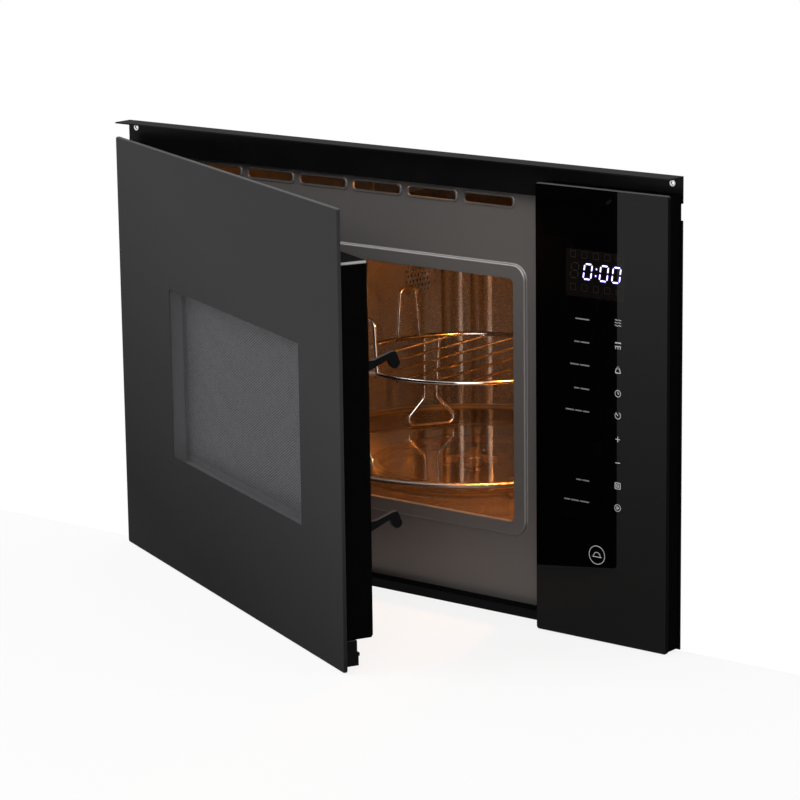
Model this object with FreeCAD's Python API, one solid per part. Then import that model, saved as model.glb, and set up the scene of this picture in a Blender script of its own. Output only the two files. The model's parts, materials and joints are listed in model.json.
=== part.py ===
import FreeCAD, Part
import math
import os

from FreeCAD import Vector

# Built-in microwave oven with its door ajar, in millimetres.
# X runs across the front, Y runs to the back and Z runs up.
# The origin lies on the shelf, under the middle of the base.
# A name that ends in _D is a depth, measured backwards from the front face of the trim.

# Trim frame
TRIM_WIDTH = 595.0
TRIM_HEIGHT = 390.0
TRIM_LIFT = 1.0
TRIM_SHEET = 1.2
SIDE_RAIL = 22.0
TOP_RAIL = 28.5
BOTTOM_RAIL = 8.0
TOP_FLANGE = 18.0
NOTCH_WIDTH = 3.5
NOTCH_HEIGHT = 13.6
NOTCH_DROP = 22.0
EYELET_SIDE = 9.3
EYELET_DROP = 6.1
EYELET_RADIUS = 2.7
EYELET_BORE = 1.6
EYELET_RIM = 0.7

# Cabinet
BODY_DEPTH = 372.0
COVER_SHEET = 0.8
BASE_SHEET = 1.2
BASE_UPSTAND = 30.0
REAR_SHEET = 1.0
PRESSED_PROUD = 2.0
PRESSED_RADIUS = 18.0
PRESSED_EDGE = 1.2
SIDE_FIELD_INSET = 45.0
TOP_RIB_WIDTH = 26.0
TOP_RIB_COUNT = 3
REAR_FIELD_WIDTH = 330.0
REAR_FIELD_INSET = 36.0
LOUVRE_COUNT = 9
LOUVRE_PITCH = 9.0
LOUVRE_HEIGHT = 3.0
LOUVRE_LENGTH = 70.0
LOUVRE_BACK = 60.0
LOUVRE_DROP = 80.0
SCREW_HEAD_RADIUS = 3.5
SCREW_HEAD_HEIGHT = 1.6
SCREW_INSET = 14.0
GLAND_RADIUS = 9.0
GLAND_BORE = 4.0
GLAND_END = 6.4
GLAND_REACH = 8.0
GLAND_Z = 40.0
GLAND_SIDE = 60.0

# Front plate of the cavity
RECESS = 13.0
PLATE_SHEET = 1.0
LAND_WIDTH = 12.0
LAND_PROUD = 3.0
LAND_RADIUS = 13.0
LAND_EDGE = 1.6
LAND_FOOT = 1.0
OPENING_RADIUS = 5.0
OPENING_EDGE = 0.6
OPENING_HEIGHT = 209.0
VENT_COUNT = 6
VENT_WIDTH = 51.0
VENT_HEIGHT = 7.6
VENT_PITCH = 59.6
VENT_DROP = 9.9
VENT_INSET = -4.0
VENT_LIP = 1.6
VENT_LIP_PROUD = 1.4
VENT_LIP_EDGE = 0.7

# Cavity
CAVITY_SIDE = 74.5
CAVITY_WIDTH = 346.0
CAVITY_DEPTH = 333.0
FLOOR_Z = 62.0
SILL_HEIGHT = 17.5
LINER = 0.8
RIB_WIDTH = 26.0
RIB_DEPTH = 5.0
RIB_INSETS = (24.0, 60.0)
HOLE_RADIUS = 1.6
HOLE_PITCH = 5.5
AIR_HOLES = (7, 6)
AIR_BACK_INSET = 22.0
AIR_Z = 204.0
LAMP_HOLES = (5, 5)
LAMP_FRONT_INSET = 90.0
LAMP_DROP = 36.0

# Door
PANEL_PROUD = 20.0
GLASS = 3.0
GLASS_CORNER = 2.5
GLASS_BEVEL = 0.6
DOOR_SIDE_INSET = 0.5
DOOR_PANEL_GAP = 4.2
FRONT_RISE = 0.25
FRONT_DROP = 13.35
DOOR_AJAR = 25.2
HINGE_INSET = 8.0
HINGE_SETBACK = 8.0
INNER_HINGE_INSET = 21.0
INNER_FREE_INSET = 4.1
INNER_RISE = 24.75
INNER_HEIGHT = 308.0
INNER_CHAMFER = 1.5
INNER_CORNER = 3.0
DOOR_SEAL_GAP = 1.25
FRAME_WALL = 3.0
WINDOW_LEFT = 115.0
WINDOW_WIDTH = 269.3
WINDOW_RISE = 105.35
WINDOW_HEIGHT = 150.9
WINDOW_MARGIN = 6.0
SCREEN_SETBACK = 12.0
SCREEN_SHEET = 0.6
CHOKE_SHEET = 0.8
CHOKE_WIDTH = 24.0
COVER_PLASTIC = 3.0
COVER_LAP = 2.0
INNER_PANE = 1.5
RAIL_RISE = 3.75
RAIL_DEPTH = 12.0
RAIL_NECK_DEPTH = 10.8
RAIL_LIP_RISE = 8.0
RAIL_LIP_HEIGHT = 2.6
RAIL_LIP_DEPTH = 13.0

# Hinges
PIN_RADIUS = 2.0
PIN_CLEARANCE = 0.05
PIN_END = 1.0
EAR_HEIGHT = 8.0
EAR_REACH = 4.0
EAR_ROOT = 13.0
HINGE_GAP = 0.3
ARM_SHEET = 3.0
ARM_LEFT = 2.5
ARM_RIGHT = 4.5
KNUCKLE_RADIUS = 3.6
HINGE_PLATE = 2.0
HINGE_PLATE_INSET = 2.5
UPPER_PLATE_HEIGHT = 30.0
LOWER_PLATE_HEIGHT = 14.0

# Latch hooks on their slide
LATCH_INSET = 6.5
LATCH_WIDTH = 4.0
LATCH_GAP = 0.3
LATCH_TRAVEL = 6.0
HOOK_RISE = 87.0
HOOK_PITCH = 131.0
HOOK_REACH = 32.5
HOOK_HEIGHT = 15.5
HOOK_ROUND = 1.4
HOOK_TIP_ROUND = 4.0
# Hook's outline from its root, as shares of its reach and its height
HOOK_OUTLINE = (
    (0, 0), (0.14, 0), (0.668, 0.49), (0.772, 0), (1.055, 0),
    (0.875, 0.9), (0.754, 0.877), (0.29, 0.535), (0, 0.535),
)
SLIDE_OVERRUN = 22.0
SLOT_SIDE = 2.0
SLOT_SWING = 4.5
SLOT_END = 2.5
SPRING_RADIUS = 2.2
SPRING_BORE = 1.5
SPRING_LENGTH = 20.0
BOSS_HEIGHT = 4.0

# Interlock
BRACKET_WALL = 3.0
BRACKET_FOOT = 22.0
BRACKET_END = 14.0
SWITCH_LENGTH = 20.0
SWITCH_DEPTH = 6.4
SWITCH_HEIGHT = 10.0
SWITCH_CLEARANCE = 3.5
SWITCH_GAP = 2.0
PLUNGER_RADIUS = 1.2
PLUNGER_CLEARANCE = 0.05
PLUNGER_PROUD = 2.5
PLUNGER_SEATED = 3.0
PLUNGER_TRAVEL = 1.2

# Control panel
PANEL_WIDTH = 129.7
HOUSING_INSET = 1.2
HOUSING_WALL = 2.0
DISPLAY_SIDE = 30.8
DISPLAY_WIDTH = 57.0
DISPLAY_HEIGHT = 39.0
DISPLAY_DROP = 50.5
DISPLAY_DEPTH = 6.5
BOARD_SHEET = 1.6
BOARD_END = 35.0
SENSOR_SHEET = 0.8
SENSOR_WIDTH = 70.0
SENSOR_END = 55.0
SENSOR_GAP = 8.0

# Turntable
TURNTABLE_DIAMETER = 315.0
TURNTABLE_GLASS = 5.0
TURNTABLE_HEIGHT = 15.4
TURNTABLE_FLAT = 134.0
TURNTABLE_RIM = 3.0
LUG_RADIUS = 20.0
LUG_WALL = 4.0
LUG_DROP = 4.0
LUG_SPAN = 60.0
RUNNING_GAP = 0.3
ROLLER_RADIUS = 7.0
ROLLER_WIDTH = 6.0
ROLLER_BORE = 1.55
ROLLER_COUNT = 3
AXLE_CLEARANCE = 0.05
AXLE_END = 2.0
RING_RADIUS = 90.0
RING_WIDTH = 6.0
RING_HEIGHT = 5.0
ROLLER_GAP = 1.0
MOTOR_RADIUS = 25.0
MOTOR_HEIGHT = 18.0
SHAFT_RADIUS = 3.5
SHAFT_CLEARANCE = 0.05
SHAFT_SEATED = 8.0
SHAFT_FLOOR_GAP = 5.0
COUPLER_HUB = 9.0
COUPLER_ARM_REACH = 24.0
COUPLER_ARM_WIDTH = 8.0
COUPLER_HEIGHT = 10.0
COUPLER_GRIP = 6.0
COUPLER_TURNS = (0.0, 120.0, 240.0)

# Wire rack
RACK_RADIUS = 108.0
RACK_WIRE = 2.2
RACK_LEG_WIRE = 1.9
RACK_RISE = 89.0
RACK_BARS = 7
RACK_BAR_WIRE = 1.4
RACK_BAR_PAST_RING = 0.8
RACK_LOOP_HEIGHT = 48.0
RACK_LOOP_ROOT_HALF = 12.0
RACK_LOOP_HALF = 8.0
RACK_LEG_TOP_HALF = 7.0
RACK_LEG_KNEE_HALF = 6.0
RACK_LEG_KNEE_RISE = 26.0
RACK_LEG_FOOT_HALF = 30.0
RACK_FOOT_RADIUS = 116.0
RACK_BEND = 6.0
RACK_LEG_TURNS = (147.0, 245.0, 23.0)
RACK_LOOP_TURNS = (160.0, 250.0, 30.0)

# Grill heater
HEATER_RADIUS = 3.5
HEATER_DROP = 13.0
HEATER_FRONT_INSET = 75.0
HEATER_BACK_INSET = 50.0
HEATER_SIDE_INSET = 70.0
HEATER_BEND = 24.0
HEATER_TAIL = 10.0
HEATER_CLEARANCE = 0.3
CLIP_WIDTH = 8.0
CLIP_WALL = 2.0
CLIP_FRONT = 160.0

# Lamp
LAMP_TUBE = 16.0
LAMP_WALL = 2.0
LAMP_LENGTH = 36.0
BULB_RADIUS = 10.0
BULB_TIP = 1.0
BULB_CAP = 6.5
BULB_STAND = 15.0

# Microwave source
WAVEGUIDE_DEPTH = 40.0
WAVEGUIDE_LENGTH = 130.0
WAVEGUIDE_HEIGHT = 95.0
WAVEGUIDE_SHEET = 1.2
WAVEGUIDE_FRONT = 170.0
WAVEGUIDE_Z = 165.0
FEED_MARGIN = 18.0
MICA = 0.6
MICA_LAP = 6.0
MAGNETRON_LENGTH = 70.0
MAGNETRON_DEPTH = 80.0
MAGNETRON_HEIGHT = 90.0
YOKE_SHEET = 3.0
ANODE_RADIUS = 20.0
FIN_COUNT = 8
FIN_SHEET = 1.0
ANTENNA_RADIUS = 8.0
ANTENNA_LENGTH = 24.0
ANTENNA_CLEARANCE = 1.0
THERMOSTAT_RADIUS = 9.0
THERMOSTAT_HEIGHT = 10.0

# High-voltage supply
CORE_WIDTH = 98.0
CORE_DEPTH = 60.0
CORE_HEIGHT = 80.0
CORE_LEG = 26.0
CORE_WINDOW = 20.0
CORE_YOKE = 14.0
COIL_WALL = 17.0
COIL_CLEARANCE = 0.3
COIL_HEIGHT = 22.0
SUPPLY_SIDE = 22.0
SUPPLY_BACK = 30.0
CAPACITOR_WIDTH = 52.0
CAPACITOR_LENGTH = 90.0
CAPACITOR_HEIGHT = 34.0
CAPACITOR_TAB_SHARES = (0.3, 0.7)
CAPACITOR_ROUND = 12.0
CAPACITOR_FRONT = 110.0
TERMINAL_RADIUS = 3.0
TERMINAL_LENGTH = 9.0
CLAMP_SHEET = 1.2
CLAMP_WIDTH = 14.0
CLAMP_FOOT = 14.0
DIODE_SIZE = 8.0
DIODE_LENGTH = 18.0
DIODE_GAP = 12.0

# Cooling fan
FAN_SIDE = 76.0
FAN_Z = 285.0
FAN_RADIUS = 45.0
FAN_HUB = 12.0
FAN_HUB_LENGTH = 15.0
FAN_BLADES = 5
FAN_BLADE_SHEET = 1.6
FAN_BLADE_PITCH = 35.0
FAN_BLADE_WIDTH = 18.0
FAN_TIP_GAP = 3.0
DUCT_DEPTH = 52.0
DUCT_SIDE = 56.0
DUCT_WALL = 1.6
FAN_MOTOR_SIZE = 36.0
FAN_MOTOR_DEPTH = 26.0
FAN_MOTOR_GAP = 4.0
FAN_SHAFT = 2.0
FAN_SHAFT_CLEARANCE = 0.05
FAN_SHAFT_SEATED = 10.0
REAR_SLOT_HEIGHT = 4.0
REAR_SLOT_PITCH = 8.0
REAR_SLOT_ROWS = 3

# Mains filter board
FILTER_WIDTH = 90.0
FILTER_DEPTH = 60.0
FILTER_SHEET = 1.6
FILTER_STAND = 8.0
FILTER_POST = 3.0
FILTER_FRONT = 60.0
FILTER_SIDE = 30.0
CHOKE_COIL = 26.0
CHOKE_COIL_HEIGHT = 20.8
FILTER_COIL_SHARE = 0.3
FILTER_BLOCK_SHARE = 0.6

# Places that follow from the sizes above
HALF = TRIM_WIDTH / 2
FACE_Y = -BODY_DEPTH / 2
TRIM_Z0 = TRIM_LIFT
TRIM_Z1 = TRIM_LIFT + TRIM_HEIGHT
MOUTH_X = HALF - SIDE_RAIL
MOUTH_Z0 = TRIM_Z0 + BOTTOM_RAIL
MOUTH_Z1 = TRIM_Z1 - TOP_RAIL
PLATE_X = MOUTH_X + TRIM_SHEET
PLATE_Z0 = MOUTH_Z0 - TRIM_SHEET
PLATE_Z1 = MOUTH_Z1 + TRIM_SHEET
PLATE_BACK_D = RECESS + PLATE_SHEET
LAND_D = RECESS - LAND_PROUD
REAR_D = BODY_DEPTH - REAR_SHEET

CAV_X0 = CAVITY_SIDE - HALF
CAV_X1 = CAV_X0 + CAVITY_WIDTH
CAV_X = (CAV_X0 + CAV_X1) / 2
OPEN_Z0 = FLOOR_Z + SILL_HEIGHT
OPEN_Z1 = OPEN_Z0 + OPENING_HEIGHT
CAV_BACK_D = PLATE_BACK_D + CAVITY_DEPTH
CAV_D = PLATE_BACK_D + CAVITY_DEPTH / 2
BAY_X = CAV_X1 + LINER

PANEL_X0 = HALF - PANEL_WIDTH
DOOR_X0 = DOOR_SIDE_INSET - HALF
DOOR_X1 = PANEL_X0 - DOOR_PANEL_GAP
FRONT_Z0 = TRIM_Z0 + FRONT_RISE
FRONT_Z1 = TRIM_Z1 - FRONT_DROP
GLASS_D = -PANEL_PROUD
GLASS_BACK_D = GLASS - PANEL_PROUD
HINGE_X = DOOR_X0 + HINGE_INSET
HINGE_D = GLASS_D + HINGE_SETBACK
INNER_X0 = HINGE_X + INNER_HINGE_INSET
INNER_X1 = DOOR_X1 - INNER_FREE_INSET
INNER_Z0 = FRONT_Z0 + INNER_RISE
INNER_Z1 = INNER_Z0 + INNER_HEIGHT
INNER_BACK_D = LAND_D - DOOR_SEAL_GAP
TRAY_X0 = INNER_X0 + FRAME_WALL
TRAY_X1 = INNER_X1 - FRAME_WALL
TRAY_Z0 = INNER_Z0 + FRAME_WALL
TRAY_Z1 = INNER_Z1 - FRAME_WALL
COVER_D = INNER_BACK_D - COVER_PLASTIC
WIN_X0 = DOOR_X0 + WINDOW_LEFT
WIN_X1 = WIN_X0 + WINDOW_WIDTH
WIN_Z0 = FRONT_Z0 + WINDOW_RISE
WIN_Z1 = WIN_Z0 + WINDOW_HEIGHT
CHOKE_D = GLASS_BACK_D + SCREEN_SETBACK
CHOKE_BACK_D = CHOKE_D + CHOKE_SHEET

LATCH_X = INNER_X1 - LATCH_INSET
HOOK_Z = (INNER_Z0 + HOOK_RISE, INNER_Z0 + HOOK_RISE + HOOK_PITCH)
SLIDE_D = CHOKE_BACK_D + LATCH_GAP
SLIDE_BACK_D = COVER_D - LATCH_GAP
SLIDE_Z0 = HOOK_Z[0] - SLIDE_OVERRUN
SLIDE_Z1 = HOOK_Z[1] + HOOK_HEIGHT + SLIDE_OVERRUN
HOOK_TIP_D = SLIDE_BACK_D + HOOK_REACH
BRACKET_X = LATCH_X + LATCH_WIDTH / 2 + SLOT_SWING + SLOT_SIDE
SWITCH_D = HOOK_TIP_D + SWITCH_CLEARANCE
SWITCH_Z = (HOOK_Z[1], HOOK_Z[0], HOOK_Z[0] - SWITCH_HEIGHT - SWITCH_GAP)

ROLLER_Z = FLOOR_Z + RUNNING_GAP + ROLLER_RADIUS
TABLE_Z = ROLLER_Z + ROLLER_RADIUS + RUNNING_GAP
FOOT_Z = TABLE_Z + TURNTABLE_GLASS + RUNNING_GAP
RACK_Z = TABLE_Z + TURNTABLE_GLASS + RACK_RISE
HEATER_Z = OPEN_Z1 - HEATER_DROP
LAMP_D = PLATE_BACK_D + LAMP_FRONT_INSET
LAMP_Z = OPEN_Z1 - LAMP_DROP
WAVEGUIDE_D = PLATE_BACK_D + WAVEGUIDE_FRONT
FAN_X = BAY_X + FAN_SIDE
CORE_X = BAY_X + SUPPLY_SIDE
CORE_BACK_D = REAR_D - SUPPLY_BACK


def slab(x0, x1, d0, d1, z0, z1):
    """Box between two widths, two depths and two heights."""
    return Part.makeBox(x1 - x0, d1 - d0, z1 - z0, Vector(x0, FACE_Y + d0, z0))


def at(x, depth, z):
    """Point from a width, a depth and a height."""
    return Vector(x, FACE_Y + depth, z)


def edges_along(shape, direction):
    """Straight edges of a shape that run along a direction."""
    found = []
    for edge in shape.Edges:
        run = edge.valueAt(edge.LastParameter) - edge.valueAt(edge.FirstParameter)
        if run.Length > 0 and run.cross(direction).Length < 1e-6 * run.Length:
            found.append(edge)
    return found


def rounded_slab(x0, x1, d0, d1, z0, z1, radius):
    """Box whose four corners, seen from the front, are rounded."""
    block = slab(x0, x1, d0, d1, z0, z1)
    return block.makeFillet(radius, edges_along(block, Vector(0, 1, 0)))


def edges_at_depth(shape, depth):
    """Edges that lie in one plane parallel to the front."""
    level = FACE_Y + depth
    return [edge for edge in shape.Edges
            if abs(edge.BoundBox.YMin - level) < 1e-4 and abs(edge.BoundBox.YMax - level) < 1e-4]


def rod(start, direction, radius, length):
    """Round bar from a point along a direction."""
    return Part.makeCylinder(radius, length, start, direction)


def fused(shapes):
    """One solid from solids that meet."""
    return shapes[0].multiFuse(shapes[1:]).removeSplitter()


def extruded(points, direction):
    """Straight-sided outline pushed along a direction."""
    outline = Part.makePolygon(points + [points[0]])
    return Part.Face(outline).extrude(direction)


def bent_wire(points, radius, bend):
    """Round wire along straight runs that are joined by equal bends."""
    edges = []
    start = points[0]
    for before, corner, after in zip(points, points[1:], points[2:]):
        back = (before - corner).normalize()
        ahead = (after - corner).normalize()
        half_angle = back.getAngle(ahead) / 2
        reach = bend / math.tan(half_angle)
        inwards = (back + ahead).normalize()
        first = corner + back * reach
        middle = corner + inwards * (bend / math.sin(half_angle) - bend)
        last = corner + ahead * reach
        edges.append(Part.LineSegment(start, first).toShape())
        edges.append(Part.Arc(first, middle, last).toShape())
        start = last
    edges.append(Part.LineSegment(start, points[-1]).toShape())
    section = Part.Wire(Part.Circle(points[0], points[1] - points[0], radius).toShape())
    return Part.Wire(edges).makePipeShell([section], True, False)


def hung(shape):
    """Door piece turned from shut to ajar about the hinge."""
    turned = shape.copy()
    turned.rotate(at(HINGE_X, HINGE_D, 0), Vector(0, 0, 1), -DOOR_AJAR)
    return turned


def around_table(radius, turn, z):
    """Point round the turntable's axis."""
    angle = math.radians(turn)
    return at(CAV_X + radius * math.cos(angle), CAV_D + radius * math.sin(angle), z)


# Front
def eyelet_centres():
    """Middles of the two fixing eyelets, on the trim's front face."""
    return [at(side * (HALF - EYELET_SIDE), 0, TRIM_Z1 - EYELET_DROP) for side in (-1, 1)]


def trim_frame():
    """Folded surround with a forward top flange and an inner return to the front plate."""
    sheet = slab(-HALF, HALF, 0, TRIM_SHEET, TRIM_Z0, TRIM_Z1)
    flange = slab(-HALF, HALF, -TOP_FLANGE, TRIM_SHEET, TRIM_Z1 - TRIM_SHEET, TRIM_Z1)
    inner_return = slab(-PLATE_X, PLATE_X, 0, RECESS, PLATE_Z0, PLATE_Z1)
    frame = fused([sheet, flange, inner_return])
    frame = frame.cut(slab(-MOUTH_X, MOUTH_X, -TRIM_SHEET, RECESS + TRIM_SHEET, MOUTH_Z0, MOUTH_Z1))
    notch_top = TRIM_Z1 - NOTCH_DROP
    for side in (-1, 1):
        edge = side * HALF
        low, high = sorted((edge - side * NOTCH_WIDTH, edge + side * NOTCH_WIDTH))
        frame = frame.cut(slab(low, high, -TRIM_SHEET, 2 * TRIM_SHEET, notch_top - NOTCH_HEIGHT, notch_top))
    for centre in eyelet_centres():
        frame = frame.cut(rod(centre, Vector(0, 1, 0), EYELET_BORE, TRIM_SHEET))
    return frame


def fixing_eyelets():
    """Two bright eyelets round the trim's fixing holes."""
    rings = []
    for centre in eyelet_centres():
        rim = rod(centre, Vector(0, -1, 0), EYELET_RADIUS, EYELET_RIM)
        rings.append(rim.cut(rod(centre, Vector(0, -1, 0), EYELET_BORE, EYELET_RIM)))
    return Part.makeCompound(rings)


def opening(d0, d1, spread, radius):
    """Block with the outline of the cavity's mouth, spread outwards."""
    return rounded_slab(CAV_X0 - spread, CAV_X1 + spread, d0, d1, OPEN_Z0 - spread, OPEN_Z1 + spread, radius)


def hook_slot(d0, d1, hook_z, swing):
    """Block that clears a latch hook through its lift and the door's swing."""
    left = LATCH_X - LATCH_WIDTH / 2 - SLOT_SIDE
    right = LATCH_X + LATCH_WIDTH / 2 + swing
    return slab(left, right, d0, d1, hook_z - SLOT_END, hook_z + HOOK_HEIGHT + LATCH_TRAVEL + SLOT_END)


def front_plate():
    """Cavity front with a raised sealing land, vent slots and the hooks' slots."""
    plate = slab(-PLATE_X, PLATE_X, RECESS, PLATE_BACK_D, PLATE_Z0, PLATE_Z1)
    land = opening(LAND_D, PLATE_BACK_D, LAND_WIDTH, LAND_RADIUS)
    hollow = opening(LAND_D + PLATE_SHEET, PLATE_BACK_D, LAND_WIDTH - PLATE_SHEET, LAND_RADIUS - PLATE_SHEET)
    inner_return = opening(LAND_D + PLATE_SHEET, PLATE_BACK_D, PLATE_SHEET, OPENING_RADIUS + PLATE_SHEET)
    land = land.makeFillet(LAND_EDGE, edges_at_depth(land, LAND_D))
    plate = fused([plate, land])
    foot = [edge for edge in edges_at_depth(plate, RECESS) if edge.BoundBox.XMax < PLATE_X - LAND_WIDTH
            and edge.BoundBox.XMin > LAND_WIDTH - PLATE_X]
    plate = plate.makeFillet(LAND_FOOT, foot)
    plate = plate.cut(hollow.cut(inner_return))
    mouth = opening(LAND_D - OPENING_EDGE, PLATE_BACK_D, 0, OPENING_RADIUS)
    plate = plate.cut(mouth)
    rim = [edge for edge in edges_at_depth(plate, LAND_D) if mouth.BoundBox.isInside(edge.BoundBox)]
    plate = plate.makeFillet(OPENING_EDGE, rim)
    slot_z = MOUTH_Z1 - VENT_DROP
    for number in range(VENT_COUNT):
        left = CAV_X0 + VENT_INSET + number * VENT_PITCH
        right = left + VENT_WIDTH
        low = slot_z - VENT_HEIGHT / 2
        high = slot_z + VENT_HEIGHT / 2
        lip = rounded_slab(
            left - VENT_LIP, right + VENT_LIP, RECESS - VENT_LIP_PROUD, RECESS,
            low - VENT_LIP, high + VENT_LIP,
            VENT_HEIGHT / 3 + VENT_LIP,
        )
        lip = lip.makeFillet(VENT_LIP_EDGE, edges_at_depth(lip, RECESS - VENT_LIP_PROUD))
        slot = rounded_slab(left, right, RECESS - VENT_LIP_PROUD, PLATE_BACK_D, low, high, VENT_HEIGHT / 3)
        plate = plate.fuse(lip).cut(slot)
    for hook_z in HOOK_Z:
        plate = plate.cut(hook_slot(RECESS, PLATE_BACK_D, hook_z, SLOT_SWING))
    return plate.removeSplitter()


# Cavity
def hole_field(start, columns, rows, across):
    """Staggered round cutters through a side wall, centred on a point of the wall."""
    cutters = []
    for row in range(rows):
        shift = 0.25 if row % 2 else -0.25
        for column in range(columns):
            along = (column - (columns - 1) / 2 + shift) * HOLE_PITCH
            up = (row - (rows - 1) / 2) * HOLE_PITCH
            cutters.append(rod(start + Vector(0, along, up), Vector(1, 0, 0), HOLE_RADIUS, across))
    return Part.makeCompound(cutters)


def feed_window(x0, x1, spread):
    """Block with the outline of the microwave feed in the right wall."""
    return slab(
        x0, x1,
        WAVEGUIDE_D + FEED_MARGIN - spread, WAVEGUIDE_D + WAVEGUIDE_LENGTH - FEED_MARGIN + spread,
        WAVEGUIDE_Z + FEED_MARGIN - spread, WAVEGUIDE_Z + WAVEGUIDE_HEIGHT - FEED_MARGIN + spread,
    )


def cavity_wrap():
    """Side walls and ceiling in one bent sheet."""
    outer = slab(CAV_X0 - LINER, CAV_X1 + LINER, PLATE_BACK_D, CAV_BACK_D, FLOOR_Z - LINER, OPEN_Z1 + LINER)
    inner = slab(CAV_X0, CAV_X1, PLATE_BACK_D, CAV_BACK_D, FLOOR_Z - LINER, OPEN_Z1)
    wrap = outer.cut(inner)
    air_centre = at(CAV_X0 - LINER, CAV_BACK_D - AIR_BACK_INSET, AIR_Z)
    wrap = wrap.cut(hole_field(air_centre, AIR_HOLES[0], AIR_HOLES[1], LINER))
    wrap = wrap.cut(hole_field(at(CAV_X1, LAMP_D, LAMP_Z), LAMP_HOLES[0], LAMP_HOLES[1], LINER))
    return wrap.cut(feed_window(CAV_X1, BAY_X, 0))


def cavity_floor():
    """Floor sheet between the side walls, with the drive shaft's hole."""
    sheet = slab(CAV_X0, CAV_X1, PLATE_BACK_D, CAV_BACK_D, FLOOR_Z - LINER, FLOOR_Z)
    centre = at(CAV_X, CAV_D, FLOOR_Z - LINER)
    return sheet.cut(rod(centre, Vector(0, 0, 1), SHAFT_RADIUS + SHAFT_FLOOR_GAP, LINER))


def heater_leg_places():
    """Widths of the heater's four straight runs."""
    first = CAV_X0 + HEATER_SIDE_INSET
    step = (CAVITY_WIDTH - 2 * HEATER_SIDE_INSET) / 3
    return [first + number * step for number in range(4)]


def cavity_back():
    """Back sheet with two upright pressed ribs and the heater's holes."""
    sheet = slab(
        CAV_X0 - LINER, CAV_X1 + LINER, CAV_BACK_D, CAV_BACK_D + LINER, FLOOR_Z - LINER, OPEN_Z1 + LINER
    )
    bulge = (RIB_WIDTH ** 2 / 4 + RIB_DEPTH ** 2) / (2 * RIB_DEPTH)
    front = slab(CAV_X0, CAV_X1, CAV_BACK_D - RIB_DEPTH, CAV_BACK_D + LINER / 2, FLOOR_Z, OPEN_Z1)
    for inset in RIB_INSETS:
        foot = at(CAV_X0 + inset, CAV_BACK_D + bulge - RIB_DEPTH, FLOOR_Z)
        rib = rod(foot, Vector(0, 0, 1), bulge, OPEN_Z1 - FLOOR_Z).common(front)
        sheet = sheet.fuse(rib)
    places = heater_leg_places()
    for x in (places[0], places[-1]):
        start = at(x, CAV_BACK_D - RIB_DEPTH, HEATER_Z)
        hole_radius = HEATER_RADIUS + HEATER_CLEARANCE
        sheet = sheet.cut(rod(start, Vector(0, 1, 0), hole_radius, RIB_DEPTH + LINER))
    return sheet.removeSplitter()


def waveguide_cover():
    """Mica sheet over the feed, on the inside of the right wall."""
    return feed_window(CAV_X1 - MICA, CAV_X1, MICA_LAP)


def grill_heater():
    """Tubular element bent into two loops below the ceiling, with its ends through the back."""
    front = PLATE_BACK_D + HEATER_FRONT_INSET
    turn_back = CAV_BACK_D - HEATER_BACK_INSET
    tail = CAV_BACK_D + LINER + HEATER_TAIL
    a, b, c, d = heater_leg_places()
    route = [
        (a, tail), (a, front), (b, front), (b, turn_back),
        (c, turn_back), (c, front), (d, front), (d, tail),
    ]
    points = [at(x, depth, HEATER_Z) for x, depth in route]
    return bent_wire(points, HEATER_RADIUS, HEATER_BEND)


def heater_clips():
    """Four hangers between the ceiling and the heater's straight runs."""
    clips = []
    outer = HEATER_RADIUS + HEATER_CLEARANCE + CLIP_WALL
    depth = PLATE_BACK_D + CLIP_FRONT
    for x in heater_leg_places():
        block = slab(x - outer, x + outer, depth, depth + CLIP_WIDTH, HEATER_Z - outer, OPEN_Z1)
        bore = rod(at(x, depth, HEATER_Z), Vector(0, 1, 0), HEATER_RADIUS + HEATER_CLEARANCE, CLIP_WIDTH)
        clips.append(block.cut(bore))
    return Part.makeCompound(clips)


# Door, built shut and then turned ajar
def door_glass():
    """Full-height glass front with softened edges."""
    pane = rounded_slab(DOOR_X0, DOOR_X1, GLASS_D, GLASS_BACK_D, FRONT_Z0, FRONT_Z1, GLASS_CORNER)
    return hung(pane.makeChamfer(GLASS_BEVEL, edges_at_depth(pane, GLASS_D)))


def hinge_ear(z0):
    """Lug of the door frame that turns on a hinge pin."""
    lug = slab(
        HINGE_X - EAR_REACH, INNER_X0 + EAR_ROOT, GLASS_BACK_D, HINGE_D + EAR_REACH,
        z0, z0 + EAR_HEIGHT,
    )
    return lug.cut(rod(at(HINGE_X, HINGE_D, z0), Vector(0, 0, 1), PIN_RADIUS + PIN_CLEARANCE, EAR_HEIGHT))


def slide_boss(z0):
    """Stop for the latch slide on the frame's free wall."""
    return slab(LATCH_X - LATCH_WIDTH / 2, TRAY_X1, SLIDE_D, SLIDE_BACK_D, z0, z0 + BOSS_HEIGHT)


def window_sheet(d0, d1, margin):
    """Flat sheet over the door's window."""
    return slab(WIN_X0 - margin, WIN_X1 + margin, d0, d1, WIN_Z0 - margin, WIN_Z1 + margin)


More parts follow.
